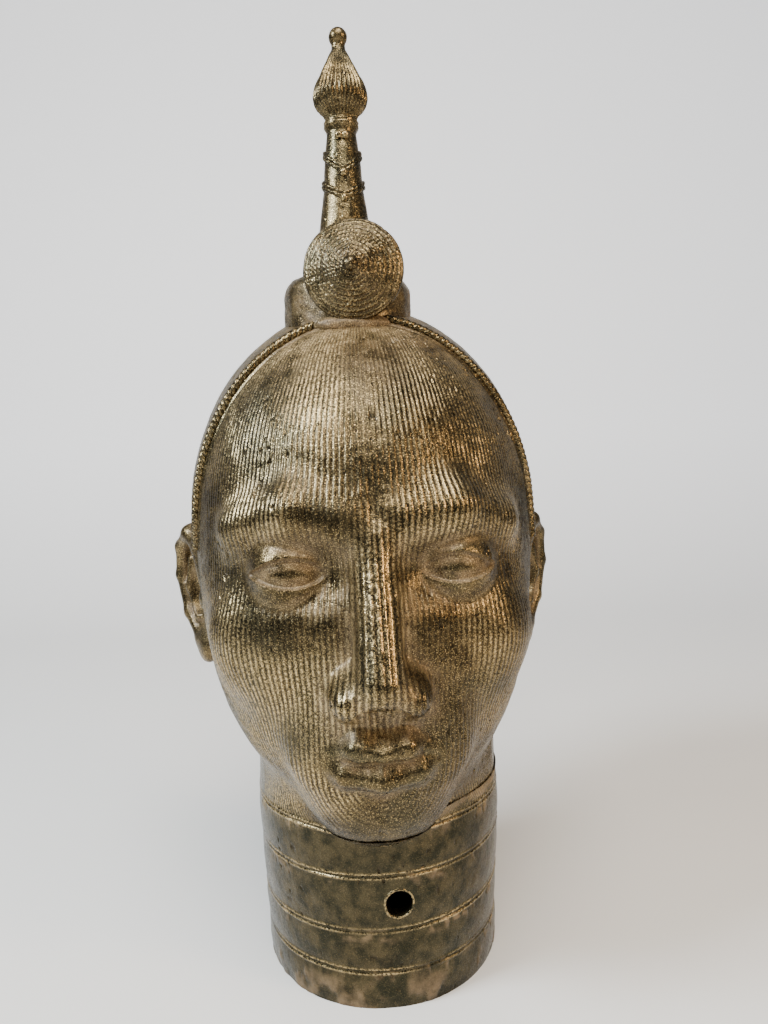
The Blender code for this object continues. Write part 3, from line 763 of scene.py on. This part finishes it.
def make_patina():
    """Dark olive-brown patina with dust in its hollows, bare brass on its ridges and painted shade
    in its grooves and crevices.
    """
    material = bpy.data.materials.new("bronze_patina_fine")
    material.use_nodes = True
    tree = material.node_tree
    nodes = tree.nodes
    links = tree.links
    shader = nodes["Principled BSDF"]
    place = nodes.new("ShaderNodeTexCoord")

    def grain(scale, detail, roughness):
        node = nodes.new("ShaderNodeTexNoise")
        settle(node, {"Scale": scale, "Detail": detail, "Roughness": roughness})
        links.new(place.outputs["Object"], node.inputs["Vector"])
        return node.outputs["Fac"]

    def ramp(value, low, high, start=0.0, end=1.0):
        return map_range(tree, value, low, high, start, end)

    def attribute(key):
        node = nodes.new("ShaderNodeAttribute")
        node.attribute_type = "GEOMETRY"
        node.attribute_name = key
        return node.outputs["Fac"]

    def reckon(kind, a, b):
        node = nodes.new("ShaderNodeMath")
        node.operation = kind
        node.use_clamp = True
        links.new(a, node.inputs[0])
        if isinstance(b, float):
            node.inputs[1].default_value = b
        else:
            links.new(b, node.inputs[1])
        return node.outputs[0]

    def blend(factor, a, b):
        node = nodes.new("ShaderNodeMix")
        node.data_type = "RGBA"
        links.new(factor, node.inputs[0])
        for slot, value in ((node.inputs[6], a), (node.inputs[7], b)):
            if isinstance(value, tuple):
                slot.default_value = (*value, 1.0)
            else:
                links.new(value, slot)
        return node.outputs[2]

    height = nodes.new("ShaderNodeSeparateXYZ")
    links.new(place.outputs["Object"], height.inputs[0])
    low = ramp(height.outputs["Z"], 0.100, 0.074)
    large = grain(30.0, 3.0, 0.55)
    middle = grain(150.0, 4.0, 0.60)
    fine = grain(1100.0, 2.0, 0.60)
    speck = grain(2300.0, 1.0, 0.50)
    calm = ramp(low, 0.0, 1.0, 1.0, 0.15)
    dusty = reckon("MULTIPLY", attribute("dust"), ramp(middle, 0.30, 0.62, 0.25, 1.0))
    worn = reckon("MULTIPLY", attribute("wear"), ramp(fine, 0.38, 0.58))
    dark = reckon("MULTIPLY", ramp(speck, 0.48, 0.36, 0.0, 0.80), calm)
    pale = reckon("MULTIPLY", ramp(speck, 0.60, 0.70, 0.0, 0.75), calm)

    colour = blend(ramp(middle, 0.35, 0.66), PATINA_DARK, PATINA_LIGHT)
    colour = blend(ramp(large, 0.42, 0.62, 0.0, 0.75), colour, PATINA_OLIVE)
    neck_colour = blend(ramp(middle, 0.40, 0.62), NECK_DARK, NECK_LIGHT)
    colour = blend(reckon("MULTIPLY", low, 0.85), colour, neck_colour)
    # Painted shade: the groove mask darkens grooves, pits, crevices and the inside of the neck and
    # its hole
    colour = blend(reckon("MULTIPLY", attribute("groove"), 0.80), colour, PAINTED_SHADE_BLACK)
    for factor, over in (
        (dusty, DUST_TAN),
        (worn, BARE_BRASS),
        (dark, SPECK_BLACK),
        (pale, SPECK_BRASS),
    ):
        colour = blend(factor, colour, over)
    links.new(colour, shader.inputs["Base Color"])
    metal = reckon("SUBTRACT", ramp(middle, 0.30, 0.70, 0.95, 0.75), dusty)
    links.new(metal, shader.inputs["Metallic"])
    gloss = ramp(fine, 0.30, 0.68, 0.14, 0.40)
    gloss = reckon("ADD", gloss, reckon("MULTIPLY", dusty, 0.35))
    gloss = reckon("SUBTRACT", gloss, reckon("MULTIPLY", worn, 0.08))
    links.new(gloss, shader.inputs["Roughness"])

    heights = reckon("MULTIPLY", fine, 0.55)
    heights = reckon("ADD", heights, reckon("MULTIPLY", speck, 0.45))
    relief = nodes.new("ShaderNodeBump")
    settle(relief, {"Strength": 0.60, "Distance": 0.00026})
    links.new(heights, relief.inputs["Height"])
    links.new(relief.outputs["Normal"], shader.inputs["Normal"])
    return material


patina = make_patina()


def make_head():
    """The head and neck in pieces that meet edge to edge, and the hole through the neck."""
    turns = head_turns()
    head = traced_head(turns, head_steps())
    points, masks = dress_head(np.concatenate([head, traced_neck(turns)]))
    normals = grid_normals(points)

    columns = len(turns)
    first = int(np.argmin(np.abs(turns + math.pi / 2)))
    last = int(np.argmin(np.abs(turns - math.pi / 2)))
    middle = (first + last) // 2
    count = len(head)
    around = np.arange(columns + 1) % columns
    back = np.concatenate([np.arange(last, columns), np.arange(0, first + 1)])
    spans = {
        "face_left": (slice(0, count), np.arange(first, middle + 1)),
        "face_right": (slice(0, count), np.arange(middle, last + 1)),
        "cap": (slice(0, count), back),
        "neck": (slice(count - 1, len(points)), around),
    }
    for name, (rows, picked) in spans.items():
        parts = {key: value[rows][:, picked] for key, value in masks.items()}
        grid_piece(
            name,
            points[rows][:, picked],
            parts,
            closed=False,
            normals=normals[rows][:, picked],
            hole=name == "neck",
        )


def make_bore():
    """The rim that the head stands on and the hollow above it, with painted shade inside."""
    turns = circle(BORE_SIDES)
    around, falls = neck_turns(turns)
    flat = level_rays(around)
    half_width, half_depth = neck_radii(0.0)
    rings = []
    for inset in (0.0, RIM_BEVEL, WALL):
        reach = oval_reach(flat, half_width - inset, half_depth - inset)
        rings.append(flat * reach[:, None])
    for height in np.linspace(0.003, 0.072, 42):
        origins = np.zeros((BORE_SIDES, 3))
        origins[:, 2] = height
        travel = meet(core_form, origins, flat, np.full(BORE_SIDES, 0.08), 30)
        rings.append(origins + flat * travel[:, None])
    for t in np.linspace(1.0, 0.02, 30):
        directions = ray(turns, t * falls)
        travel = meet(core_form, FOCUS, directions, np.full(BORE_SIDES, REACH), 40)
        rings.append(FOCUS + directions * travel[:, None])
    points = np.stack(rings)
    points = points + noise(points, 0.008, 81)[..., None] * 0.0003 * np.array([1.0, 1.0, 0.0])
    # Painted shade: darker from the rim inwards, deeper into the hollow
    shade = np.repeat(ease(0.0, 6.0, np.arange(len(rings))), BORE_SIDES)
    grid_piece("bore", points, {"groove": shade}, hole=True)


def make_hole():
    """The rim and wall of the round hole through the front of the neck."""
    profile = ((0.0013, 0.0003), (0.0009, -0.0002), (0.0005, -0.0004), (0.0001, -0.0003))
    profile += ((-0.0002, 0.0002), (-0.0002, 0.0015), (-0.0001, WALL), (0.0004, WALL + 0.0010))
    angles = circle(HOLE_SIDES) + math.pi
    rings = []
    for wide, deep in profile:
        reach = HOLE_DIAMETER / 2 + wide
        x = HOLE_ASIDE + reach * np.cos(angles)
        z = HOLE_HEIGHT + reach * np.sin(angles)
        half_width, half_depth = neck_radii(z)
        p = np.stack([x, np.zeros(HOLE_SIDES), z], axis=1)
        front = -half_depth * np.sqrt(1.0 - (x / half_width) ** 2) - band_offset(p)
        rings.append(np.stack([x, front + deep, z], axis=1))
    points = np.stack(rings)
    points = points + 0.0002 * noise(points, 0.003, 85)[..., None]
    places = np.repeat(np.arange(len(profile)), HOLE_SIDES)
    # groove: painted shade, darker deeper into the hole's wall; wear on its rim
    masks = {"groove": ease(3.0, 6.0, places), "wear": 0.6 * bump(places - 2.0, 1.5)}
    grid_piece("hole_wall", points, masks)


def skin(form, low, high, cell):
    """Points and faces where a form is 0 in a box, with one point to each cell it crosses."""
    axes = [np.arange(a, b + cell, cell) for a, b in zip(low, high)]
    grid = np.stack(np.meshgrid(*axes, indexing="ij"), axis=-1)
    value = form(grid.reshape(-1, 3)).reshape(grid.shape[:3])
    cells = tuple(n - 1 for n in value.shape)
    total = np.zeros(cells + (3,))
    count = np.zeros(cells)
    whole = [slice(None)] * 3
    for axis in range(3):
        start, end = list(whole), list(whole)
        start[axis], end[axis] = slice(0, -1), slice(1, None)
        a, b = value[tuple(start)], value[tuple(end)]
        crossed = (a < 0) != (b < 0)
        t = np.where(crossed, a / np.where(crossed, a - b, 1.0), 0.0)
        spot = grid[tuple(start)] + t[..., None] * cell * np.eye(3)[axis]
        others = [k for k in range(3) if k != axis]
        for first in (0, 1):
            for second in (0, 1):
                part = list(whole)
                part[others[0]] = slice(first, first + cells[others[0]])
                part[others[1]] = slice(second, second + cells[others[1]])
                mask = crossed[tuple(part)]
                total += spot[tuple(part)] * mask[..., None]
                count += mask
    number = np.full(cells, -1)
    number[count > 0] = np.arange(int((count > 0).sum()))
    points = total[count > 0] / count[count > 0][:, None]
    faces = []
    for axis in range(3):
        start, end = list(whole), list(whole)
        start[axis], end[axis] = slice(0, -1), slice(1, None)
        a, b = value[tuple(start)] < 0, value[tuple(end)] < 0
        second, third = (axis + 1) % 3, (axis + 2) % 3
        inner = list(whole)
        inner[second] = inner[third] = slice(1, -1)
        spots = np.argwhere((a != b)[tuple(inner)])
        offset = np.zeros(3, dtype=int)
        offset[second] = offset[third] = 1
        spots = spots + offset
        leaving = a[tuple(spots.T)]
        one, two = np.eye(3, dtype=int)[second], np.eye(3, dtype=int)[third]
        ring = [number[tuple((spots - shift).T)] for shift in (one + two, two, 0 * one, one)]
        quads = np.stack(ring, axis=1)
        quads[~leaving] = quads[~leaving][:, ::-1]
        faces.append(quads)
    return points, np.concatenate(faces)


def slope_of(form, p):
    """Directions in which a form grows."""
    step = 0.00005
    slope = [form(p + step * axis) - form(p - step * axis) for axis in np.eye(3)]
    return unit(np.stack(slope, axis=1))


def make_ears():
    """The ears, each run into the side of the head."""

    def form(p):
        return join(head_form(p) + 0.0004 + SKIN_INSET, ear(folded(p)), 0.018 * HEAD_HEIGHT)

    low = share(0.270, -0.130, 0.250)
    high = share(0.430, 0.130, 0.590)
    points, faces = skin(form, low, high, EAR_CELL)
    for _ in range(3):
        points = points - slope_of(form, points) * form(points)[:, None]
    near = ear(folded(points)) < 0.0045
    faces = faces[near[faces].all(axis=1)]
    used, faces = np.unique(faces, return_inverse=True)
    points, faces = points[used], faces.reshape(-1, 4)
    normals = slope_of(form, points)
    hollow = shelter(form, points, normals, 0.0040)
    for side, name in ((1.0, "ear_right"), (-1.0, "ear_left")):
        flip = np.array([side, 1.0, 1.0])
        placed = points * flip + np.array([HEAD_OFFSET * (1.0 - side), 0.0, 0.0])
        lift = cast_unevenness(placed) - 0.5 * SKIN_INSET
        placed = placed + normals * flip * lift[:, None]
        masks = {
            # groove: painted shade in the ears' hollows
            "groove": 0.5 * ease(0.3, 0.9, hollow),
            "dust": 0.7 * ease(0.05, 0.5, hollow),
            "wear": 0.5 * ease(0.10, 0.0, hollow) * ease(0.0, 0.6, noise(placed, 0.010, 86)),
        }
        add_piece(name, placed, faces if side > 0 else faces[:, ::-1], normals * flip, masks)


def twisted(name, path, radius, lay, strands, sides=14):
    """A rope of twisted strands along a path."""
    tangent = unit(np.gradient(path, axis=0))
    outward = path - path.mean(axis=0)
    outward = unit(outward - np.sum(outward * tangent, axis=1)[:, None] * tangent)
    side = np.cross(tangent, outward)
    angles = circle(sides) + math.pi
    twist = angles[None, :] + 2.0 * math.pi * run_along(path)[:, None] / lay
    lobes = np.abs(np.cos(0.5 * strands * twist))
    reach = radius * (0.76 + 0.26 * lobes**0.6)
    spokes = np.cos(angles)[:, None] * outward[:, None] + np.sin(angles)[:, None] * side[:, None]
    points = path[:, None] + reach[..., None] * spokes
    points = points + 0.00008 * noise(points, 0.003, 91)[..., None] * outward[:, None]
    masks = {
        # groove: painted shade between the strands
        "groove": ease(0.55, 0.0, lobes),
        "wear": ease(0.7, 1.0, lobes) * ease(-0.3, 0.5, noise(points, 0.015, 92)) * 0.6,
        "dust": ease(0.1, 0.8, noise(points, 0.020, 93)) * 0.4,
    }
    grid_piece(name, points[:, ::-1], {key: value[:, ::-1] for key, value in masks.items()})


def on_head(points, sink):
    """Points moved in or out onto the head's surface, and sunk a little into it."""

    def form(p):
        return skull(folded(p)) - CAP_RISE / 2

    directions = unit(points - FOCUS)
    travel = meet(form, FOCUS, directions, np.full(len(points), REACH), 45)
    return FOCUS + directions * (travel - sink)[:, None]


def make_ropes():
    """The rope along the cap's front edge and the one round the nape."""
    falls = np.radians(np.linspace(-87.0, 87.0, 860))
    turns = np.where(falls < 0, -math.pi / 2, math.pi / 2)
    sink = 0.35 * ROPE_RADIUS
    path = on_head(FOCUS + ray(turns, np.abs(falls)) * 0.1, sink)
    twisted("front_rope", path, ROPE_RADIUS, ROPE_LAY, 3)
    around = np.radians(np.linspace(-83.0, 83.0, 720))
    reach_x, reach_y = size(0.352, 0.45)
    y = reach_y * np.cos(around)
    path = np.stack([HEAD_OFFSET + reach_x * np.sin(around), y, cap_edge_height(y)], axis=1)
    for _ in range(4):
        path = on_head(path, sink)
        path[:, 2] = cap_edge_height(path[:, 1])
    twisted("rear_rope", path, ROPE_RADIUS, ROPE_LAY, 3)


def spin(profile, sides, relief=None):
    """A grid of points round Z from (radius, height) pairs, top first."""
    radius, height = np.array(profile).T
    angles = circle(sides)
    reach = np.repeat(radius[:, None], sides, axis=1)
    if relief is not None:
        reach = reach + relief(height[:, None], angles)
    heights = np.repeat(height[:, None], sides, axis=1)
    return np.stack([reach * np.sin(angles), -reach * np.cos(angles), heights], axis=-1)


def resample(profile, pitch):
    """A profile with points at an even pitch along it."""
    points = np.array(profile)
    run = run_along(points)
    places = np.linspace(0.0, run[-1], int(run[-1] / pitch) + 2)
    return np.stack([np.interp(places, run, points[:, k]) for k in (0, 1)], axis=1)


def soften(profile, rounds):
    """A profile with its corners rounded."""
    points = np.array(profile)
    for _ in range(rounds):
        points[1:-1] = (points[:-2] + 2.0 * points[1:-1] + points[2:]) / 4.0
    return points


def uneven_piece(name, points, seed, masks, depth):
    """A turned piece with a cast surface and a few pits."""
    pits = 0.0003 * ease(0.60, 0.80, noise(points, 0.0017, seed + 5))
    lift = depth * rough(points, 0.006, seed) - pits
    grid_piece(name, points + grid_normals(points) * lift[..., None], masks)


def before_crest(forward, height):
    """A place in front of the plume, on the line that leads out to the rosette."""
    bearing = math.radians(ROSETTE_BEARING)
    return CREST + np.array([forward * math.sin(bearing), -forward * math.cos(bearing), height])


def make_drum():
    """The low round boss on the crown."""
    inner = DRUM_RADIUS - DRUM_SHOULDER
    low = DRUM_TOP - DRUM_SHOULDER
    profile = [(SHAFT_FOOT_RADIUS * 0.6, DRUM_TOP + 0.1 * DRUM_HEIGHT)]
    for a in np.radians(np.linspace(88.0, 0.0, 10)):
        profile += [(inner + DRUM_SHOULDER * math.cos(a), low + DRUM_SHOULDER * math.sin(a))]
    profile += [(DRUM_RADIUS, height_at(0.93))]
    points = spin(resample(profile, 0.0009), DRUM_SIDES) + CREST
    points[..., 1] += 0.2 * DRUM_RADIUS
    dust = 0.7 * ease(-0.2, 0.7, noise(points, 0.012, 101))
    uneven_piece("drum", points, 102, {"dust": dust}, 0.0003)


def make_rosette():
    """A cone of concentric pitted coils with a dark boss, on a short stem."""
    boss = 0.15 * ROSETTE_RADIUS
    tall = ROSETTE_RISE
    foot = -0.80 * ROSETTE_FORWARD
    profile = [(0.0002, 1.10 * tall), (0.5 * boss, 1.06 * tall), (0.9 * boss, 0.97 * tall)]
    profile += [(boss, 0.88 * tall), (0.97 * ROSETTE_RADIUS, 0.04 * tall)]
    profile += [(ROSETTE_RADIUS, -0.25 * ROSETTE_RIM), (0.96 * ROSETTE_RADIUS, -ROSETTE_RIM)]
    profile += [(STEM_RADIUS, -1.3 * ROSETTE_RIM), (STEM_RADIUS, -0.75 * ROSETTE_FORWARD)]
    profile += [(0.9 * STEM_RADIUS, foot), (0.0005, foot)]
    rows = soften(resample(profile, 0.00034), 3)
    points = spin(rows, ROSETTE_SIDES)
    normals = grid_normals(points)
    radius = rows[:, :1]
    angles = circle(ROSETTE_SIDES)
    on_cone = (rows[:, 1:] > 0.02 * tall) & (radius > boss)
    coil = radius / COIL_PITCH
    ridge = np.abs(np.cos(math.pi * coil))
    number = np.floor(coil + 0.5)
    sway = 2.6 * noise(points, 0.0045, 115)
    count = np.round(number * COIL_PITCH * 2.0 * math.pi / TICK_PITCH)
    ticks = 0.5 + 0.5 * np.cos(angles * count + coil * 5.0 + sway)
    ticks = ticks * ease(-0.6, 0.5, noise(points, 0.0040, 116))
    lower = ease(0.2, 0.9, np.cos(angles))
    lift = (0.00036 + 0.00020 * lower) * (ridge**0.7 - 0.6)
    lift = lift + TICK_RISE * (ticks - 0.5) + 0.00016 * rough(points, 0.0018, 117, 2)
    points = points + normals * (on_cone * lift)[..., None]
    turn = Matrix.Rotation(math.radians(-ROSETTE_TURN), 3, "Z")
    turn = turn @ Matrix.Rotation(math.radians(90.0), 3, "X")
    place = before_crest(ROSETTE_FORWARD, CROWN_HEIGHT + ROSETTE_LIFT)
    points = points @ np.array(turn).T + place
    # Painted shade between the coils, a little deeper on the lower side; the middle is also darker
    # towards the boss
    between = on_cone * (1.0 - ridge)
    middle = 0.8 * ease(3.6 * boss, 0.5 * boss, radius)
    masks = {
        "groove": between * (0.8 + 0.2 * lower) + middle,
        "dust": 0.35 * between + 0.3 * ease(0.1, 0.6, noise(points, 0.012, 111)),
        "wear": on_cone * ridge * ticks * ease(-0.4, 0.4, noise(points, 0.013, 112)),
    }
    masks = {key: np.clip(value, 0.0, 1.0) for key, value in masks.items()}
    uneven_piece("rosette", points, 113, masks, 0.00012)


def make_seat():
    """The rough joint metal under the rosette."""
    heights = np.radians(np.linspace(88.0, -88.0, 44))
    profile = np.stack([np.cos(heights), np.sin(heights)], axis=1)
    points = spin(profile, SEAT_SIDES) * (np.array([0.78, 0.34, 0.24]) * ROSETTE_RADIUS)
    low = CROWN_HEIGHT + ROSETTE_LIFT - 1.02 * ROSETTE_RADIUS
    points = points + before_crest(ROSETTE_FORWARD - 1.7 * ROSETTE_RIM, low)
    uneven_piece("rosette_seat", points, 121, {"dust": 0.95}, 0.0007)


def plume_profile():
    """Radius and height of the plume from its tip down to its foot in the drum."""
    ball = BULB_HEIGHT + BULB_LENGTH + 0.75 * TIP_RADIUS
    rows = [(0.0001, ball + TIP_RADIUS)]
    for degrees in range(15, 150, 15):
        angle = math.radians(degrees)
        rows += [(TIP_RADIUS * math.sin(angle), ball + TIP_RADIUS * math.cos(angle))]
    shape = ((0.25, 0.92), (0.36, 0.84), (0.50, 0.72), (0.63, 0.62), (0.75, 0.52), (0.88, 0.43))
    shape += ((0.95, 0.36), (0.99, 0.29), (1.0, 0.23), (0.96, 0.15), (0.86, 0.08), (0.70, 0.03))
    rows += [(wide * BULB_RADIUS, BULB_HEIGHT + high * BULB_LENGTH) for wide, high in shape]
    rows += [(0.60 * BULB_RADIUS, BULB_HEIGHT - 0.0016)]
    rows += [(0.80 * COLLAR_RADIUS, COLLAR_HEIGHT + 0.0020)]
    for centre in (COLLAR_HEIGHT + 0.0011, COLLAR_HEIGHT - 0.0005):
        for side in (0.0007, 0.0004, 0.0, -0.0004, -0.0007):
            swell = math.sqrt(max(0.0, 1.0 - (side / 0.0008) ** 2))
            rows += [(COLLAR_RADIUS * (0.84 + 0.16 * swell), centre + side)]
    shape = ((0.95, 0.08), (0.815, 0.25), (0.735, 0.31), (0.57, 0.42), (0.40, 0.66), (0.12, 1.0))
    spread = SHAFT_FOOT_RADIUS - SHAFT_TOP_RADIUS
    for high, wide in shape:
        rows += [(SHAFT_TOP_RADIUS + wide * spread, DRUM_TOP + high * SHAFT_LENGTH)]
    return rows + [(SHAFT_FOOT_RADIUS, DRUM_TOP - DRUM_HEIGHT)]


def fluting(height, angles):
    """How fully the bulb is fluted at a height, and how deep the flutes are round it."""
    span = 0.95 * BULB_LENGTH
    within = ease(BULB_HEIGHT - 0.0030, BULB_HEIGHT - 0.0008, height)
    within = within * (1.0 - ease(BULB_HEIGHT + 0.55 * span, BULB_HEIGHT + span, height))
    return within, within * (1.0 - np.abs(np.cos(0.5 * BULB_FLUTES * angles)) ** 0.7)


def make_plume():
    """The upright plume: shaft, collar, fluted bulb and round tip."""

    def relief(height, angles):
        return -FLUTE_DEPTH * fluting(height, angles)[1]

    rows = soften(resample(plume_profile(), 0.0006), 1)
    points = spin(rows, PLUME_SIDES, relief) + CREST
    height = rows[:, 1:]
    within, valley = fluting(height, circle(PLUME_SIDES))
    on_collar = bump(height - COLLAR_HEIGHT - 0.0004, 0.0018)
    wear = np.clip(within * (1.0 - valley) * 0.8 + on_collar, 0.0, 1.0)
    wear = wear * ease(-0.3, 0.5, noise(points, 0.009, 131))
    dust = 0.75 * ease(0.0, 0.6, noise(points, 0.012, 132))
    dust = dust * ease(COLLAR_HEIGHT - 0.005, DRUM_TOP, height)
    # groove: painted shade in the flutes' valleys
    uneven_piece("plume", points, 133, {"groove": valley, "wear": wear, "dust": dust}, 0.00014)


def shaft_radius(height):
    """The plume's radius at a height on its shaft."""
    rows = sorted((high, wide) for wide, high in plume_profile())
    return np.interp(height, [high for high, _ in rows], [wide for _, wide in rows])


def make_cords():
    """Double cords round the plume's shaft, each dipping to a bead in front."""
    angles = np.radians(np.linspace(-180.0, 180.0, 181))
    dip_shape = np.clip(1.0 - np.abs(angles) / (math.pi / 2), 0.0, 1.0)
    for k, (place, dip) in enumerate(zip(CORD_PLACES, CORD_DIPS)):
        top = DRUM_TOP + place * SHAFT_LENGTH
        drop = dip * SHAFT_LENGTH
        for strand, lift in enumerate((STRAND_GAP, -STRAND_GAP)):
            heights = top + lift - drop * dip_shape
            reach = shaft_radius(heights) + 0.1 * CORD_RADIUS
            path = level_rays(angles) * reach[:, None] + CREST
            path[:, 2] = heights
            twisted(f"cord_{k}_{strand}", path, CORD_RADIUS, CORD_LAY, 2, 12)
        make_bead(f"bead_{k}", 0.0, top - drop - 0.6 * BEAD_RADIUS)
    for side in (-1, 1):
        height = DRUM_TOP + PAIR_PLACE * SHAFT_LENGTH
        make_bead(f"bead_pair_{side + 1}", side * PAIR_GAP, height)


def make_bead(name, aside, height):
    """A bead on the front of the plume's shaft."""
    heights = np.radians(np.linspace(89.0, -89.0, 17))
    profile = np.stack([np.cos(heights), np.sin(heights)], axis=1) * BEAD_RADIUS
    points = spin(profile, BEAD_SIDES) + CREST
    points = points + np.array([aside, -float(shaft_radius(height)), height])
    uneven_piece(name, points, 141, {"wear": 0.6}, 0.0001)


def make_stage():
    """A pale floor that curves up into a pale wall."""
    mesh = bpy.data.meshes.new("floor")
    reach, bend, wall, top = 6.0, 0.60, 1.30, 4.0
    arc = np.radians(np.linspace(0.0, 90.0, 25))
    profile = [(-reach, 0.0)]
    profile += [(wall - bend + bend * math.sin(a), bend - bend * math.cos(a)) for a in arc]
    profile += [(wall, top)]
    corners = [(side * reach, y, z) for y, z in profile for side in (-1.0, 1.0)]
    faces = [(2 * k, 2 * k + 1, 2 * k + 3, 2 * k + 2) for k in range(len(profile) - 1)]
    mesh.from_pydata(corners, [], faces)
    mesh.polygons.foreach_set("use_smooth", np.ones(len(faces), dtype=bool))
    floor = bpy.data.objects.new("floor", mesh)
    scene.collection.objects.link(floor)
    material = bpy.data.materials.new("pale_floor")
    material.use_nodes = True
    tree = material.node_tree
    links = tree.links
    shader = tree.nodes["Principled BSDF"]
    settle(shader, {"Base Color": (0.84, 0.82, 0.78, 1.0), "Roughness": 0.8})
    settle(shader, {"Emission Color": (0.93, 0.95, 1.0, 1.0)})
    place = tree.nodes.new("ShaderNodeTexCoord")
    parts = tree.nodes.new("ShaderNodeSeparateXYZ")
    total = tree.nodes.new("ShaderNodeMath")
    seen = tree.nodes.new("ShaderNodeLightPath")
    shown = tree.nodes.new("ShaderNodeMath")
    shown.operation = "MULTIPLY"
    links.new(place.outputs["Object"], parts.inputs[0])
    links.new(parts.outputs["Y"], total.inputs[0])
    links.new(parts.outputs["Z"], total.inputs[1])
    links.new(map_range(tree, total.outputs[0], 0.12, 1.5, 0.0, 0.90), shown.inputs[0])
    links.new(seen.outputs["Is Camera Ray"], shown.inputs[1])
    links.new(shown.outputs[0], shader.inputs["Emission Strength"])
    mesh.materials.append(material)


def area_light(name, place, aim, width, power, colour):
    """A square soft light that shines at a point."""
    data = bpy.data.lights.new(name, "AREA")
    data.size = width
    data.energy = power
    data.color = colour
    lamp = bpy.data.objects.new(name, data)
    lamp.location = place
    lamp.rotation_euler = (Vector(aim) - Vector(place)).to_track_quat("-Z", "Y").to_euler()
    scene.collection.objects.link(lamp)


def make_lights():
    """Soft cool light from the left, a warm one from the right and a pale surround."""
    aim = (0.0, 0.0, 0.22)
    area_light("window", (-0.82, -0.35, 0.84), aim, 0.34, 19.0, (0.80, 0.90, 1.0))
    area_light("lamp", (0.78, -0.55, 0.56), aim, 0.24, 5.0, (1.0, 0.72, 0.45))
    area_light("ceiling", (0.00, -0.60, 1.15), aim, 0.70, 18.0, (1.0, 0.95, 0.88))
    world = bpy.data.worlds.new("studio")
    scene.world = world
    world.use_nodes = True
    nodes = world.node_tree.nodes
    links = world.node_tree.links
    surround = nodes["Background"]
    settle(surround, {"Color": (0.62, 0.66, 0.72, 1.0), "Strength": 0.24})
    seen = nodes.new("ShaderNodeBackground")
    settle(seen, {"Color": (0.60, 0.63, 0.67, 1.0), "Strength": 1.8})
    path = nodes.new("ShaderNodeLightPath")
    mix = nodes.new("ShaderNodeMixShader")
    links.new(path.outputs["Is Camera Ray"], mix.inputs[0])
    links.new(surround.outputs[0], mix.inputs[1])
    links.new(seen.outputs[0], mix.inputs[2])
    links.new(mix.outputs[0], nodes["World Output"].inputs["Surface"])


def make_camera():
    """The photograph's camera: close, a little to the left and slightly rolled."""
    distance, height, aside = 0.3556, 0.2276, 0.0075
    turn, pitch, roll = (math.radians(angle) for angle in (-4.0, 3.56, -2.0))
    focal_pixels, frame_pixels, sensor = 740.0, 1024.0, 36.0
    ahead = Vector((-math.sin(turn), math.cos(turn), 0.0))
    right = Vector((math.cos(turn), math.sin(turn), 0.0))
    place = Vector(AXIS) - ahead * distance + right * aside + Vector((0.0, 0.0, height))
    look = ahead * math.cos(pitch) - Vector((0.0, 0.0, math.sin(pitch)))
    upward = right.cross(look)
    across = math.cos(roll) * right + math.sin(roll) * upward
    upward = math.cos(roll) * upward - math.sin(roll) * right
    matrix = Matrix((across, upward, -look)).transposed().to_4x4()
    matrix.translation = place
    data = bpy.data.cameras.new("camera")
    data.lens = focal_pixels * sensor / frame_pixels
    data.sensor_width = sensor
    camera = bpy.data.objects.new("camera", data)
    camera.matrix_world = matrix
    scene.collection.objects.link(camera)
    scene.camera = camera


make_head()
make_bore()
make_hole()
make_ears()
make_ropes()
make_drum()
make_seat()
make_rosette()
make_plume()
make_cords()
make_stage()
make_lights()
make_camera()
